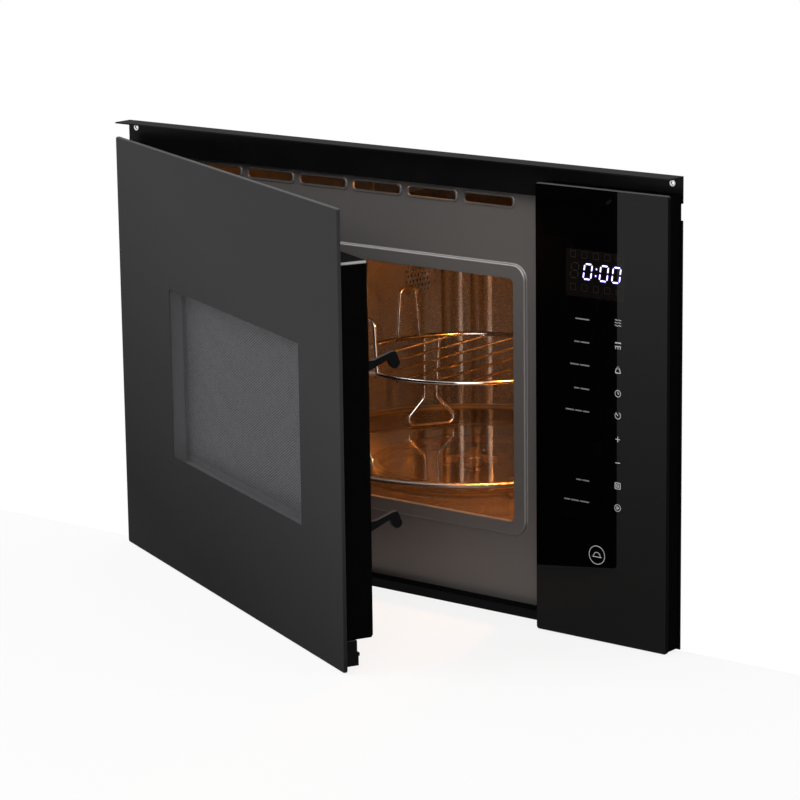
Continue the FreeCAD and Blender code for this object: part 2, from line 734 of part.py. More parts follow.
def door_frame():
    """Moulded tray behind the glass, with a rim round the window, two hinge ears and the slide's stops."""
    shell = rounded_slab(INNER_X0, INNER_X1, GLASS_BACK_D, INNER_BACK_D, INNER_Z0, INNER_Z1, INNER_CORNER)
    shell = shell.makeChamfer(INNER_CHAMFER, edges_at_depth(shell, INNER_BACK_D))
    tray = slab(TRAY_X0, TRAY_X1, GLASS_BACK_D + FRAME_WALL, INNER_BACK_D, TRAY_Z0, TRAY_Z1)
    window = window_sheet(GLASS_BACK_D, INNER_BACK_D, WINDOW_MARGIN)
    rim = window_sheet(GLASS_BACK_D, CHOKE_D, WINDOW_MARGIN + FRAME_WALL)
    ears = [hinge_ear(INNER_Z1), hinge_ear(INNER_Z0 - EAR_HEIGHT)]
    stops = [slide_boss(SLIDE_Z0 - LATCH_GAP - BOSS_HEIGHT), slide_boss(SLIDE_Z1 + SPRING_LENGTH)]
    return hung(fused([shell.cut(tray).cut(window), rim.cut(window)] + ears + stops))


def frame_ring(inset, wall, d0, d1):
    """Upright band inside the tray, at a distance from the tray's walls."""
    outer = slab(TRAY_X0 + inset, TRAY_X1 - inset, d0, d1, TRAY_Z0 + inset, TRAY_Z1 - inset)
    lap = inset + wall
    return outer.cut(slab(TRAY_X0 + lap, TRAY_X1 - lap, d0, d1, TRAY_Z0 + lap, TRAY_Z1 - lap))


def choke_panel():
    """Pressed steel panel with the window cut-out and the choke's inner wall."""
    sheet = slab(TRAY_X0, TRAY_X1, CHOKE_D, CHOKE_BACK_D, TRAY_Z0, TRAY_Z1)
    sheet = sheet.cut(slab(WIN_X0, WIN_X1, CHOKE_D, CHOKE_BACK_D, WIN_Z0, WIN_Z1))
    return hung(fused([sheet, frame_ring(CHOKE_WIDTH, CHOKE_SHEET, CHOKE_D, COVER_D)]))


def door_screen():
    """Perforated screen, as a plain sheet, on the front of the choke panel."""
    return hung(window_sheet(CHOKE_D - SCREEN_SHEET, CHOKE_D, WINDOW_MARGIN))


def inner_window():
    """Clear pane on the oven side of the choke panel."""
    return hung(window_sheet(CHOKE_BACK_D, CHOKE_BACK_D + INNER_PANE, WINDOW_MARGIN))


def choke_cover():
    """Plastic cover over the choke channel, with the hooks' slots."""
    cover = frame_ring(0, CHOKE_WIDTH + CHOKE_SHEET + COVER_LAP, COVER_D, INNER_BACK_D)
    for hook_z in HOOK_Z:
        cover = cover.cut(hook_slot(COVER_D, INNER_BACK_D, hook_z, LATCH_GAP))
    return hung(cover)


def door_bottom_rail():
    """Moulding along the door's lower edge, necked under the frame and with a lip."""
    z0 = FRONT_Z0 + RAIL_RISE
    lip_z0 = z0 + RAIL_LIP_RISE
    lip_z1 = lip_z0 + RAIL_LIP_HEIGHT
    steps = [
        (RAIL_DEPTH, z0), (RAIL_DEPTH, lip_z0), (RAIL_LIP_DEPTH, lip_z0),
        (RAIL_LIP_DEPTH, lip_z1), (RAIL_NECK_DEPTH, lip_z1), (RAIL_NECK_DEPTH, INNER_Z0),
    ]
    x0 = INNER_X0 + EAR_ROOT
    outline = [at(x0, GLASS_BACK_D, INNER_Z0), at(x0, GLASS_BACK_D, z0)]
    outline += [at(x0, GLASS_BACK_D + depth, z) for depth, z in steps]
    return hung(extruded(outline, Vector(INNER_X1 - x0, 0, 0)))


def hook(z0):
    """Rising arm with a dropped, round-ended head, seen from the side."""
    left = LATCH_X - LATCH_WIDTH / 2
    outline = [(depth * HOOK_REACH, up * HOOK_HEIGHT) for depth, up in HOOK_OUTLINE]
    points = [at(left, SLIDE_BACK_D + depth, z0 + up) for depth, up in outline]
    blank = extruded(points, Vector(LATCH_WIDTH, 0, 0))
    head_y = FACE_Y + SLIDE_BACK_D + HOOK_REACH / 2
    arm_y = FACE_Y + SLIDE_BACK_D + HOOK_ROUND
    upper = [edge for edge in edges_along(blank, Vector(1, 0, 0))
             if edge.BoundBox.YMin > arm_y and edge.BoundBox.ZMin > z0 + HOOK_ROUND]
    blank = blank.makeFillet(HOOK_ROUND, upper)
    tip = [edge for edge in edges_along(blank, Vector(1, 0, 0))
           if edge.BoundBox.YMin > head_y and edge.BoundBox.ZMax < z0 + HOOK_ROUND]
    return blank.makeFillet(HOOK_TIP_ROUND, tip)


def latch_slide():
    """Upright slide in the door's free edge, with both hooks."""
    left = LATCH_X - LATCH_WIDTH / 2
    strip = slab(left, left + LATCH_WIDTH, SLIDE_D, SLIDE_BACK_D, SLIDE_Z0, SLIDE_Z1)
    return hung(fused([strip] + [hook(z) for z in HOOK_Z]))


def latch_spring():
    """Spring above the slide, as a plain sleeve."""
    foot = at(LATCH_X, (SLIDE_D + SLIDE_BACK_D) / 2, SLIDE_Z1)
    sleeve = rod(foot, Vector(0, 0, 1), SPRING_RADIUS, SPRING_LENGTH)
    return hung(sleeve.cut(rod(foot, Vector(0, 0, 1), SPRING_BORE, SPRING_LENGTH)))


# Hinges
def hinge(arm_z0, plate_z0, plate_height, pin_z0):
    """Steel arm from the trim's left rail to the hinge axis, with its pin."""
    plate = slab(
        HINGE_PLATE_INSET - HALF, SIDE_RAIL - HINGE_PLATE_INSET - HALF, -HINGE_PLATE, 0,
        plate_z0, plate_z0 + plate_height,
    )
    arm = slab(
        HINGE_X - ARM_LEFT, HINGE_X + ARM_RIGHT, HINGE_D, -HINGE_PLATE / 2,
        arm_z0, arm_z0 + ARM_SHEET,
    )
    knuckle = rod(at(HINGE_X, HINGE_D, arm_z0), Vector(0, 0, 1), KNUCKLE_RADIUS, ARM_SHEET)
    pin_length = ARM_SHEET + HINGE_GAP + EAR_HEIGHT + PIN_END
    pin = rod(at(HINGE_X, HINGE_D, pin_z0), Vector(0, 0, 1), PIN_RADIUS, pin_length)
    return fused([plate, arm, knuckle, pin])


def hinge_upper():
    """Hinge above the door's upper ear, with its pin pointing down."""
    arm_z0 = INNER_Z1 + EAR_HEIGHT + HINGE_GAP
    return hinge(arm_z0, arm_z0, UPPER_PLATE_HEIGHT, INNER_Z1 - PIN_END)


def hinge_lower():
    """Hinge below the door's lower ear, with its pin pointing up."""
    arm_top = INNER_Z0 - EAR_HEIGHT - HINGE_GAP
    arm_z0 = arm_top - ARM_SHEET
    return hinge(arm_z0, arm_top - LOWER_PLATE_HEIGHT, LOWER_PLATE_HEIGHT, arm_z0)


def hinge_screws():
    """Screw heads on both hinge plates."""
    middle = SIDE_RAIL / 2 - HALF
    upper = INNER_Z1 + EAR_HEIGHT + HINGE_GAP + ARM_SHEET
    lower = INNER_Z0 - EAR_HEIGHT - HINGE_GAP - ARM_SHEET
    space = UPPER_PLATE_HEIGHT - ARM_SHEET
    heights = (upper + space / 3, upper + space * 0.75, lower - (LOWER_PLATE_HEIGHT - ARM_SHEET) / 2)
    heads = [rod(at(middle, -HINGE_PLATE, z), Vector(0, -1, 0), SCREW_HEAD_RADIUS, SCREW_HEAD_HEIGHT)
             for z in heights]
    return Part.makeCompound(heads)


# Interlock behind the front plate
def interlock_bracket():
    """Moulding beside the hooks' path, with a foot on the front plate and two catch ledges."""
    z0 = SWITCH_Z[2] - BRACKET_END
    z1 = HOOK_Z[1] + HOOK_HEIGHT + BRACKET_END
    wall = slab(BRACKET_X, BRACKET_X + BRACKET_WALL, PLATE_BACK_D, SWITCH_D + SWITCH_DEPTH, z0, z1)
    foot = slab(BRACKET_X, BRACKET_X + BRACKET_FOOT, PLATE_BACK_D, PLATE_BACK_D + BRACKET_WALL, z0, z1)
    ledges = []
    for hook_z in HOOK_Z:
        top = hook_z - SLOT_END
        left = LATCH_X - LATCH_WIDTH / 2 - SLOT_SIDE
        ledge_back = PLATE_BACK_D + 2 * BRACKET_WALL
        ledges.append(slab(left, BRACKET_X, PLATE_BACK_D, ledge_back, top - BRACKET_WALL, top))
    return fused([wall, foot] + ledges)


def plunger_axis(number, depth):
    """Point on a switch plunger's axis."""
    return at(LATCH_X, depth, SWITCH_Z[number] + SWITCH_HEIGHT / 2)


def interlock_switches():
    """Three switch bodies on the bracket's wall."""
    bodies = []
    depth = PLUNGER_SEATED + PLUNGER_TRAVEL + PLUNGER_CLEARANCE
    for number, z in enumerate(SWITCH_Z):
        left = BRACKET_X - SWITCH_LENGTH
        case = slab(left, BRACKET_X, SWITCH_D, SWITCH_D + SWITCH_DEPTH, z, z + SWITCH_HEIGHT)
        socket_radius = PLUNGER_RADIUS + PLUNGER_CLEARANCE
        socket = rod(plunger_axis(number, SWITCH_D), Vector(0, 1, 0), socket_radius, depth)
        bodies.append(case.cut(socket))
    return Part.makeCompound(bodies)


def switch_plunger(number):
    """Plunger that stands out of a switch towards its hook."""
    length = PLUNGER_PROUD + PLUNGER_SEATED
    return rod(plunger_axis(number, SWITCH_D - PLUNGER_PROUD), Vector(0, 1, 0), PLUNGER_RADIUS, length)


# Control panel
def control_glass():
    """Black glass front of the control panel."""
    pane = rounded_slab(PANEL_X0, HALF, GLASS_D, GLASS_BACK_D, FRONT_Z0, FRONT_Z1, GLASS_CORNER)
    return pane.makeChamfer(GLASS_BEVEL, edges_at_depth(pane, GLASS_D))


def control_housing():
    """Shell behind the control glass, with one wall that reaches the front plate."""
    x0 = PANEL_X0 + HOUSING_INSET
    x1 = HALF - HOUSING_INSET
    z0 = FRONT_Z0 + HOUSING_INSET
    z1 = FRONT_Z1 - HOUSING_INSET
    shell = slab(x0, x1, GLASS_BACK_D, 0, z0, z1)
    shell = shell.cut(slab(
        x0 + HOUSING_WALL, x1 - HOUSING_WALL, GLASS_BACK_D, 0, z0 + HOUSING_WALL, z1 - HOUSING_WALL
    ))
    side = slab(x0, x0 + HOUSING_WALL, GLASS_BACK_D, RECESS, MOUTH_Z0, MOUTH_Z1)
    return fused([shell, side])


def display_place():
    """Lower left corner of the display, as a width and a height."""
    return PANEL_X0 + DISPLAY_SIDE, FRONT_Z1 - DISPLAY_DROP - DISPLAY_HEIGHT


def display_module():
    """Numeric display against the glass."""
    x0, z0 = display_place()
    return slab(x0, x0 + DISPLAY_WIDTH, GLASS_BACK_D, GLASS_BACK_D + DISPLAY_DEPTH, z0, z0 + DISPLAY_HEIGHT)


def touch_sensor():
    """Touch foil on the back of the glass, below the display."""
    x0, z0 = display_place()
    top = z0 - SENSOR_GAP
    return slab(
        x0, x0 + SENSOR_WIDTH, GLASS_BACK_D, GLASS_BACK_D + SENSOR_SHEET, FRONT_Z0 + SENSOR_END, top
    )


def control_board():
    """Circuit board held between the housing's side walls."""
    x0 = PANEL_X0 + HOUSING_INSET + HOUSING_WALL
    x1 = HALF - HOUSING_INSET - HOUSING_WALL
    depth = GLASS_BACK_D + DISPLAY_DEPTH
    return slab(x0, x1, depth, depth + BOARD_SHEET, FRONT_Z0 + BOARD_END, FRONT_Z1 - BOARD_END)


# Turntable
def table_lug(turn):
    """Curved lug under the plate, between two arms of the coupler."""
    foot = at(CAV_X, CAV_D, TABLE_Z - LUG_DROP)
    height = LUG_DROP + TURNTABLE_GLASS / 2
    lug = Part.makeCylinder(LUG_RADIUS, height, foot, Vector(0, 0, 1), LUG_SPAN)
    lug = lug.cut(Part.makeCylinder(LUG_RADIUS - LUG_WALL, height, foot, Vector(0, 0, 1), LUG_SPAN))
    lug.rotate(foot, Vector(0, 0, 1), turn + (COUPLER_TURNS[1] - LUG_SPAN) / 2)
    return lug


def turntable_plate():
    """Glass plate with a flat floor and a sloping rim."""
    rim = TURNTABLE_DIAMETER / 2
    top = TABLE_Z + TURNTABLE_HEIGHT
    inner_z = TABLE_Z + TURNTABLE_GLASS
    profile = [
        (0, TABLE_Z), (TURNTABLE_FLAT, TABLE_Z), (rim, top - TURNTABLE_GLASS * 0.7), (rim, top),
        (rim - TURNTABLE_GLASS, top), (TURNTABLE_FLAT - TURNTABLE_GLASS / 2, inner_z), (0, inner_z),
    ]
    points = [at(CAV_X + radius, CAV_D, z) for radius, z in profile]
    face = Part.Face(Part.makePolygon(points + [points[0]]))
    plate = face.revolve(at(CAV_X, CAV_D, 0), Vector(0, 0, 1), 360)
    widest_bend = 2 * rim - TURNTABLE_GLASS
    bends = [edge for edge in plate.Edges if edge.Closed and edge.BoundBox.XLength < widest_bend]
    plate = plate.makeFillet(TURNTABLE_RIM, bends)
    lip = [edge for edge in plate.Edges if edge.Closed and abs(edge.BoundBox.ZMin - top) < 1e-4]
    plate = plate.makeFillet(TURNTABLE_RIM / 2, lip)
    return fused([plate] + [table_lug(turn) for turn in COUPLER_TURNS])


def drive_coupler():
    """Three-armed coupler under the plate, on the motor's shaft."""
    z0 = TABLE_Z - COUPLER_HEIGHT
    pieces = [rod(at(CAV_X, CAV_D, z0), Vector(0, 0, 1), COUPLER_HUB, COUPLER_HEIGHT)]
    for turn in COUPLER_TURNS:
        arm = slab(
            CAV_X, CAV_X + COUPLER_ARM_REACH, CAV_D - COUPLER_ARM_WIDTH / 2, CAV_D + COUPLER_ARM_WIDTH / 2,
            z0 + COUPLER_HEIGHT / 2, TABLE_Z,
        )
        tip = rod(at(CAV_X + COUPLER_ARM_REACH, CAV_D, z0 + COUPLER_HEIGHT / 2), Vector(0, 0, 1),
                  COUPLER_ARM_WIDTH / 2, COUPLER_HEIGHT / 2)
        arm = arm.fuse(tip)
        arm.rotate(at(CAV_X, CAV_D, 0), Vector(0, 0, 1), turn)
        pieces.append(arm)
    coupler = fused(pieces)
    return coupler.cut(rod(at(CAV_X, CAV_D, z0), Vector(0, 0, 1), SHAFT_RADIUS, COUPLER_GRIP))


def drive_shaft():
    """Motor shaft from the gear case up into the coupler."""
    z0 = FLOOR_Z - LINER - SHAFT_SEATED
    z1 = TABLE_Z - COUPLER_HEIGHT + COUPLER_GRIP
    return rod(at(CAV_X, CAV_D, z0), Vector(0, 0, 1), SHAFT_RADIUS, z1 - z0)


def turntable_motor():
    """Flat gear motor under the cavity floor."""
    z0 = FLOOR_Z - LINER - MOTOR_HEIGHT
    case = rod(at(CAV_X, CAV_D, z0), Vector(0, 0, 1), MOTOR_RADIUS, MOTOR_HEIGHT)
    top = at(CAV_X, CAV_D, FLOOR_Z - LINER)
    return case.cut(rod(top, Vector(0, 0, -1), SHAFT_RADIUS + SHAFT_CLEARANCE, SHAFT_SEATED + RUNNING_GAP))


def roller_turns():
    """Angles of the rollers round the ring."""
    return [90.0 + number * 360.0 / ROLLER_COUNT for number in range(ROLLER_COUNT)]


def roller_start():
    """Radius at which a roller's inner face runs."""
    return RING_RADIUS + RING_WIDTH / 2 + ROLLER_GAP


def outwards(turn):
    """Direction away from the turntable's axis."""
    angle = math.radians(turn)
    return Vector(math.cos(angle), math.sin(angle), 0)


def roller_ring():
    """Carrier ring with an axle stub for each roller."""
    z0 = ROLLER_Z - RING_HEIGHT / 2
    centre = at(CAV_X, CAV_D, z0)
    band = rod(centre, Vector(0, 0, 1), RING_RADIUS + RING_WIDTH / 2, RING_HEIGHT)
    band = band.cut(rod(centre, Vector(0, 0, 1), RING_RADIUS - RING_WIDTH / 2, RING_HEIGHT))
    length = roller_start() + ROLLER_WIDTH + AXLE_END - RING_RADIUS
    radius = ROLLER_BORE - AXLE_CLEARANCE
    axles = [
        rod(around_table(RING_RADIUS, turn, ROLLER_Z), outwards(turn), radius, length)
        for turn in roller_turns()
    ]
    return fused([band] + axles)


def roller(number):
    """Wheel on one of the ring's axles."""
    turn = roller_turns()[number]
    start = around_table(roller_start(), turn, ROLLER_Z)
    wheel = rod(start, outwards(turn), ROLLER_RADIUS, ROLLER_WIDTH)
    return wheel.cut(rod(start, outwards(turn), ROLLER_BORE, ROLLER_WIDTH))


def rack_wire(turn, stations):
    """Wire that leaves the rack's ring through pairs of points, crosses at the last pair and comes back."""
    out = outwards(turn)
    along = Vector(-out.y, out.x, 0)
    one_side, other_side = [], []
    for half, radius, z in stations:
        middle = around_table(math.sqrt(radius ** 2 - half ** 2), turn, z)
        one_side.append(middle - along * half)
        other_side.insert(0, middle + along * half)
    return bent_wire(one_side + other_side, RACK_LEG_WIRE, RACK_BEND)


def rack_leg(turn):
    """Leg whose two wires run down together and then flare to a foot on the glass."""
    foot_z = FOOT_Z + RACK_LEG_WIRE
    way_down = 1 - RACK_LEG_KNEE_RISE / (RACK_Z - foot_z)
    knee_radius = RACK_RADIUS + (RACK_FOOT_RADIUS - RACK_RADIUS) * way_down
    return rack_wire(turn, [
        (RACK_LEG_TOP_HALF, RACK_RADIUS, RACK_Z),
        (RACK_LEG_KNEE_HALF, knee_radius, foot_z + RACK_LEG_KNEE_RISE),
        (RACK_LEG_FOOT_HALF, RACK_FOOT_RADIUS, foot_z),
    ])


def rack_loop(turn):
    """Upright loop that keeps a dish on the rack."""
    return rack_wire(turn, [
        (RACK_LOOP_ROOT_HALF, RACK_RADIUS, RACK_Z),
        (RACK_LOOP_HALF, RACK_RADIUS, RACK_Z + RACK_LOOP_HEIGHT),
    ])


def grill_rack():
    """Round wire rack with three long flared legs, three short upper loops and cross bars."""
    wires = [Part.makeTorus(RACK_RADIUS, RACK_WIRE, at(CAV_X, CAV_D, RACK_Z), Vector(0, 0, 1))]
    wires += [rack_leg(turn) for turn in RACK_LEG_TURNS]
    wires += [rack_loop(turn) for turn in RACK_LOOP_TURNS]
    for number in range(RACK_BARS):
        side = RACK_RADIUS * (2 * (number + 1) / (RACK_BARS + 1) - 1)
        half = math.sqrt(RACK_RADIUS ** 2 - side ** 2) + RACK_BAR_PAST_RING
        start = at(CAV_X + side, CAV_D - half, RACK_Z - RACK_WIRE)
        wires.append(rod(start, Vector(0, 1, 0), RACK_BAR_WIRE, 2 * half))
    return fused(wires)


# Lamp and microwave source beside the cavity
def lamp_holder():
    """Closed tube on the right wall, behind the lamp perforations."""
    start = at(BAY_X, LAMP_D, LAMP_Z)
    tube = rod(start, Vector(1, 0, 0), LAMP_TUBE, LAMP_LENGTH)
    return tube.cut(rod(start, Vector(1, 0, 0), LAMP_TUBE - LAMP_WALL, LAMP_LENGTH - LAMP_WALL))


def lamp_bulb():
    """Filament bulb with its cap on the end of the holder, turned about the lamp's axis."""
    centre = at(BAY_X + BULB_STAND, LAMP_D, LAMP_Z)
    neck = math.sqrt(BULB_RADIUS ** 2 - BULB_CAP ** 2)
    end = LAMP_LENGTH - LAMP_WALL - BULB_STAND
    pip = math.sqrt(BULB_RADIUS ** 2 - BULB_TIP ** 2)
    middle_tip = centre + Vector(-pip, 0, 0)
    tip = centre + Vector(-pip, 0, BULB_TIP)
    crown = centre + Vector(0, 0, BULB_RADIUS)
    cap_start = centre + Vector(neck, 0, BULB_CAP)
    cap_end = centre + Vector(end, 0, BULB_CAP)
    middle_end = centre + Vector(end, 0, 0)
    outline = Part.Wire([
        Part.Arc(tip, crown, cap_start).toShape(),
        Part.LineSegment(cap_start, cap_end).toShape(),
        Part.LineSegment(cap_end, middle_end).toShape(),
        Part.LineSegment(middle_end, middle_tip).toShape(),
        Part.LineSegment(middle_tip, tip).toShape(),
    ])
    return Part.Face(outline).revolve(centre, Vector(1, 0, 0), 360)


def antenna_start():
    """Middle of the magnetron's mounting face on the waveguide."""
    middle_d = WAVEGUIDE_D + WAVEGUIDE_LENGTH / 2
    middle_z = WAVEGUIDE_Z + WAVEGUIDE_HEIGHT / 2
    return at(BAY_X + WAVEGUIDE_DEPTH, middle_d, middle_z)


def waveguide():
    """Steel duct on the right wall, open towards the feed."""
    d1 = WAVEGUIDE_D + WAVEGUIDE_LENGTH
    z1 = WAVEGUIDE_Z + WAVEGUIDE_HEIGHT
    duct = slab(BAY_X, BAY_X + WAVEGUIDE_DEPTH, WAVEGUIDE_D, d1, WAVEGUIDE_Z, z1)
    sheet = WAVEGUIDE_SHEET
    duct = duct.cut(slab(
        BAY_X, BAY_X + WAVEGUIDE_DEPTH - sheet, WAVEGUIDE_D + sheet, d1 - sheet,
        WAVEGUIDE_Z + sheet, z1 - sheet,
    ))
    return duct.cut(rod(antenna_start(), Vector(-1, 0, 0), ANTENNA_RADIUS + ANTENNA_CLEARANCE, sheet))


def magnetron():
    """Yoke, finned anode and antenna on the waveguide."""
    start = antenna_start()
    x0 = start.x
    x1 = x0 + MAGNETRON_LENGTH
    d0 = WAVEGUIDE_D + (WAVEGUIDE_LENGTH - MAGNETRON_DEPTH) / 2
    d1 = d0 + MAGNETRON_DEPTH
    z0 = WAVEGUIDE_Z + (WAVEGUIDE_HEIGHT - MAGNETRON_HEIGHT) / 2
    z1 = z0 + MAGNETRON_HEIGHT
    yoke = slab(x0, x1, d0, d1, z0, z1)
    yoke = yoke.cut(slab(x0 + YOKE_SHEET, x1 - YOKE_SHEET, d0, d1, z0 + YOKE_SHEET, z1 - YOKE_SHEET))
    pieces = [yoke, rod(start, Vector(1, 0, 0), ANODE_RADIUS, MAGNETRON_LENGTH)]
    pitch = (MAGNETRON_LENGTH - 2 * YOKE_SHEET) / (FIN_COUNT + 1)
    for number in range(FIN_COUNT):
        x = x0 + YOKE_SHEET + pitch * (number + 1) - FIN_SHEET / 2
        pieces.append(slab(x, x + FIN_SHEET, d0, d1, z0 + YOKE_SHEET / 2, z1 - YOKE_SHEET / 2))
    pieces.append(rod(start, Vector(-1, 0, 0), ANTENNA_RADIUS, ANTENNA_LENGTH))
    return fused(pieces)


def magnetron_thermostat():
    """Thermal cut-out on top of the magnetron's yoke."""
    start = antenna_start()
    x = start.x + MAGNETRON_LENGTH / 2
    z = WAVEGUIDE_Z + (WAVEGUIDE_HEIGHT + MAGNETRON_HEIGHT) / 2
    return Part.makeCylinder(THERMOSTAT_RADIUS, THERMOSTAT_HEIGHT, Vector(x, start.y, z))


def cavity_thermostat():
    """Thermal cut-out on top of the cavity's ceiling."""
    return rod(at(CAV_X, CAV_D, OPEN_Z1 + LINER), Vector(0, 0, 1), THERMOSTAT_RADIUS, THERMOSTAT_HEIGHT)


# High-voltage supply on the base
def transformer_core():
    """Laminated core with two windows either side of its middle leg."""
    core = slab(CORE_X, CORE_X + CORE_WIDTH, CORE_BACK_D - CORE_DEPTH, CORE_BACK_D, BASE_SHEET,
                BASE_SHEET + CORE_HEIGHT)
    middle = CORE_X + CORE_WIDTH / 2
    for side in (-1, 1):
        low, high = sorted((middle + side * CORE_LEG / 2, middle + side * (CORE_LEG / 2 + CORE_WINDOW)))
        core = core.cut(slab(low, high, CORE_BACK_D - CORE_DEPTH, CORE_BACK_D, BASE_SHEET + CORE_YOKE,
                             BASE_SHEET + CORE_HEIGHT - CORE_YOKE))
    return core


def transformer_coils():
    """Two windings round the core's middle leg."""
    middle = CORE_X + CORE_WIDTH / 2
    inner = CORE_LEG / 2 + COIL_CLEARANCE
    outer = inner + COIL_WALL
    d0 = CORE_BACK_D - CORE_DEPTH - COIL_CLEARANCE
    d1 = CORE_BACK_D + COIL_CLEARANCE
    low = BASE_SHEET + CORE_YOKE
    high = BASE_SHEET + CORE_HEIGHT - CORE_YOKE - COIL_HEIGHT
    coils = []
    for z in (low, high):
        ring = slab(middle - outer, middle + outer, d0 - COIL_WALL, d1 + COIL_WALL, z, z + COIL_HEIGHT)
        coils.append(ring.cut(slab(middle - inner, middle + inner, d0, d1, z, z + COIL_HEIGHT)))
    return Part.makeCompound(coils)


def hv_capacitor():
    """Oval can lying on the base, with two terminals."""
    d0 = PLATE_BACK_D + CAPACITOR_FRONT
    z1 = BASE_SHEET + CAPACITOR_HEIGHT
    can = rounded_slab(
        CORE_X, CORE_X + CAPACITOR_WIDTH, d0, d0 + CAPACITOR_LENGTH, BASE_SHEET, z1, CAPACITOR_ROUND,
    )
    pieces = [can]
    for share in CAPACITOR_TAB_SHARES:
        foot = at(CORE_X + CAPACITOR_WIDTH * share, d0, BASE_SHEET + CAPACITOR_HEIGHT / 2)
        pieces.append(rod(foot, Vector(0, -1, 0), TERMINAL_RADIUS, TERMINAL_LENGTH))
    return fused(pieces)


def capacitor_clamp():
    """Strap over the capacitor with a foot on the base at each side."""
    d0 = PLATE_BACK_D + CAPACITOR_FRONT + (CAPACITOR_LENGTH - CLAMP_WIDTH) / 2
    d1 = d0 + CLAMP_WIDTH
    x0 = CORE_X - CLAMP_SHEET
    x1 = CORE_X + CAPACITOR_WIDTH + CLAMP_SHEET
    top = BASE_SHEET + CAPACITOR_HEIGHT
    bridge = rounded_slab(x0, x1, d0, d1, BASE_SHEET, top + CLAMP_SHEET, CAPACITOR_ROUND + CLAMP_SHEET)
    feet = slab(x0 - CLAMP_FOOT, x1 + CLAMP_FOOT, d0, d1, BASE_SHEET, BASE_SHEET + CLAMP_SHEET)
    skirt = slab(x0, x1, d0, d1, BASE_SHEET, BASE_SHEET + CAPACITOR_HEIGHT / 2)
    can = slab(CORE_X, CORE_X + CAPACITOR_WIDTH, d0, d1, BASE_SHEET, BASE_SHEET + CAPACITOR_HEIGHT / 2)
    round_can = rounded_slab(CORE_X, CORE_X + CAPACITOR_WIDTH, d0, d1, BASE_SHEET, top, CAPACITOR_ROUND)
    return fused([bridge, feet, skirt]).cut(can).cut(round_can)


def hv_diode():
    """Moulded diode on the base in front of the capacitor."""
    d1 = PLATE_BACK_D + CAPACITOR_FRONT - TERMINAL_LENGTH - DIODE_GAP
    return slab(CORE_X, CORE_X + DIODE_SIZE, d1 - DIODE_LENGTH, d1, BASE_SHEET, BASE_SHEET + DIODE_SIZE)


# Cooling fan in its duct on the rear panel
def fan_duct():
    """Square duct on the rear panel with a round mouth round the blades."""
    side = DUCT_SIDE
    d0 = REAR_D - DUCT_DEPTH
    duct = slab(FAN_X - side, FAN_X + side, d0, REAR_D, FAN_Z - side, FAN_Z + side)
    inner = side - DUCT_WALL
    duct = duct.cut(slab(FAN_X - inner, FAN_X + inner, d0 + DUCT_WALL, REAR_D, FAN_Z - inner, FAN_Z + inner))
    return duct.cut(rod(at(FAN_X, d0, FAN_Z), Vector(0, 1, 0), FAN_RADIUS + FAN_TIP_GAP, DUCT_WALL))


def fan_motor():
    """Motor on the rear panel, with a bearing bore for the fan's shaft."""
    half = FAN_MOTOR_SIZE / 2
    d0 = REAR_D - FAN_MOTOR_DEPTH
    case = slab(FAN_X - half, FAN_X + half, d0, REAR_D, FAN_Z - half, FAN_Z + half)
    bore_radius = FAN_SHAFT + FAN_SHAFT_CLEARANCE
    bore = rod(at(FAN_X, d0, FAN_Z), Vector(0, 1, 0), bore_radius, FAN_SHAFT_SEATED + RUNNING_GAP)
    return case.cut(bore)


def fan_blade():
    """Hub, pitched blades and shaft."""
    hub_back = REAR_D - FAN_MOTOR_DEPTH - FAN_MOTOR_GAP
    hub_front = hub_back - FAN_HUB_LENGTH
    centre = at(FAN_X, hub_front, FAN_Z)
    pieces = [rod(centre, Vector(0, 1, 0), FAN_HUB, FAN_HUB_LENGTH)]
    middle = hub_front + FAN_HUB_LENGTH / 2
    tip = rod(centre, Vector(0, 1, 0), FAN_RADIUS, FAN_HUB_LENGTH)
    for number in range(FAN_BLADES):
        blade = slab(
            FAN_X, FAN_X + FAN_RADIUS, middle - FAN_BLADE_SHEET / 2, middle + FAN_BLADE_SHEET / 2,
            FAN_Z - FAN_BLADE_WIDTH / 2, FAN_Z + FAN_BLADE_WIDTH / 2,
        )
        blade.rotate(at(FAN_X, middle, FAN_Z), Vector(1, 0, 0), FAN_BLADE_PITCH)
        blade.rotate(at(FAN_X, middle, FAN_Z), Vector(0, 1, 0), number * 360.0 / FAN_BLADES)
        pieces.append(blade.common(tip))
    pieces.append(rod(at(FAN_X, middle, FAN_Z), Vector(0, 1, 0), FAN_SHAFT,
                      FAN_HUB_LENGTH / 2 + FAN_MOTOR_GAP + FAN_SHAFT_SEATED))
    return fused(pieces)


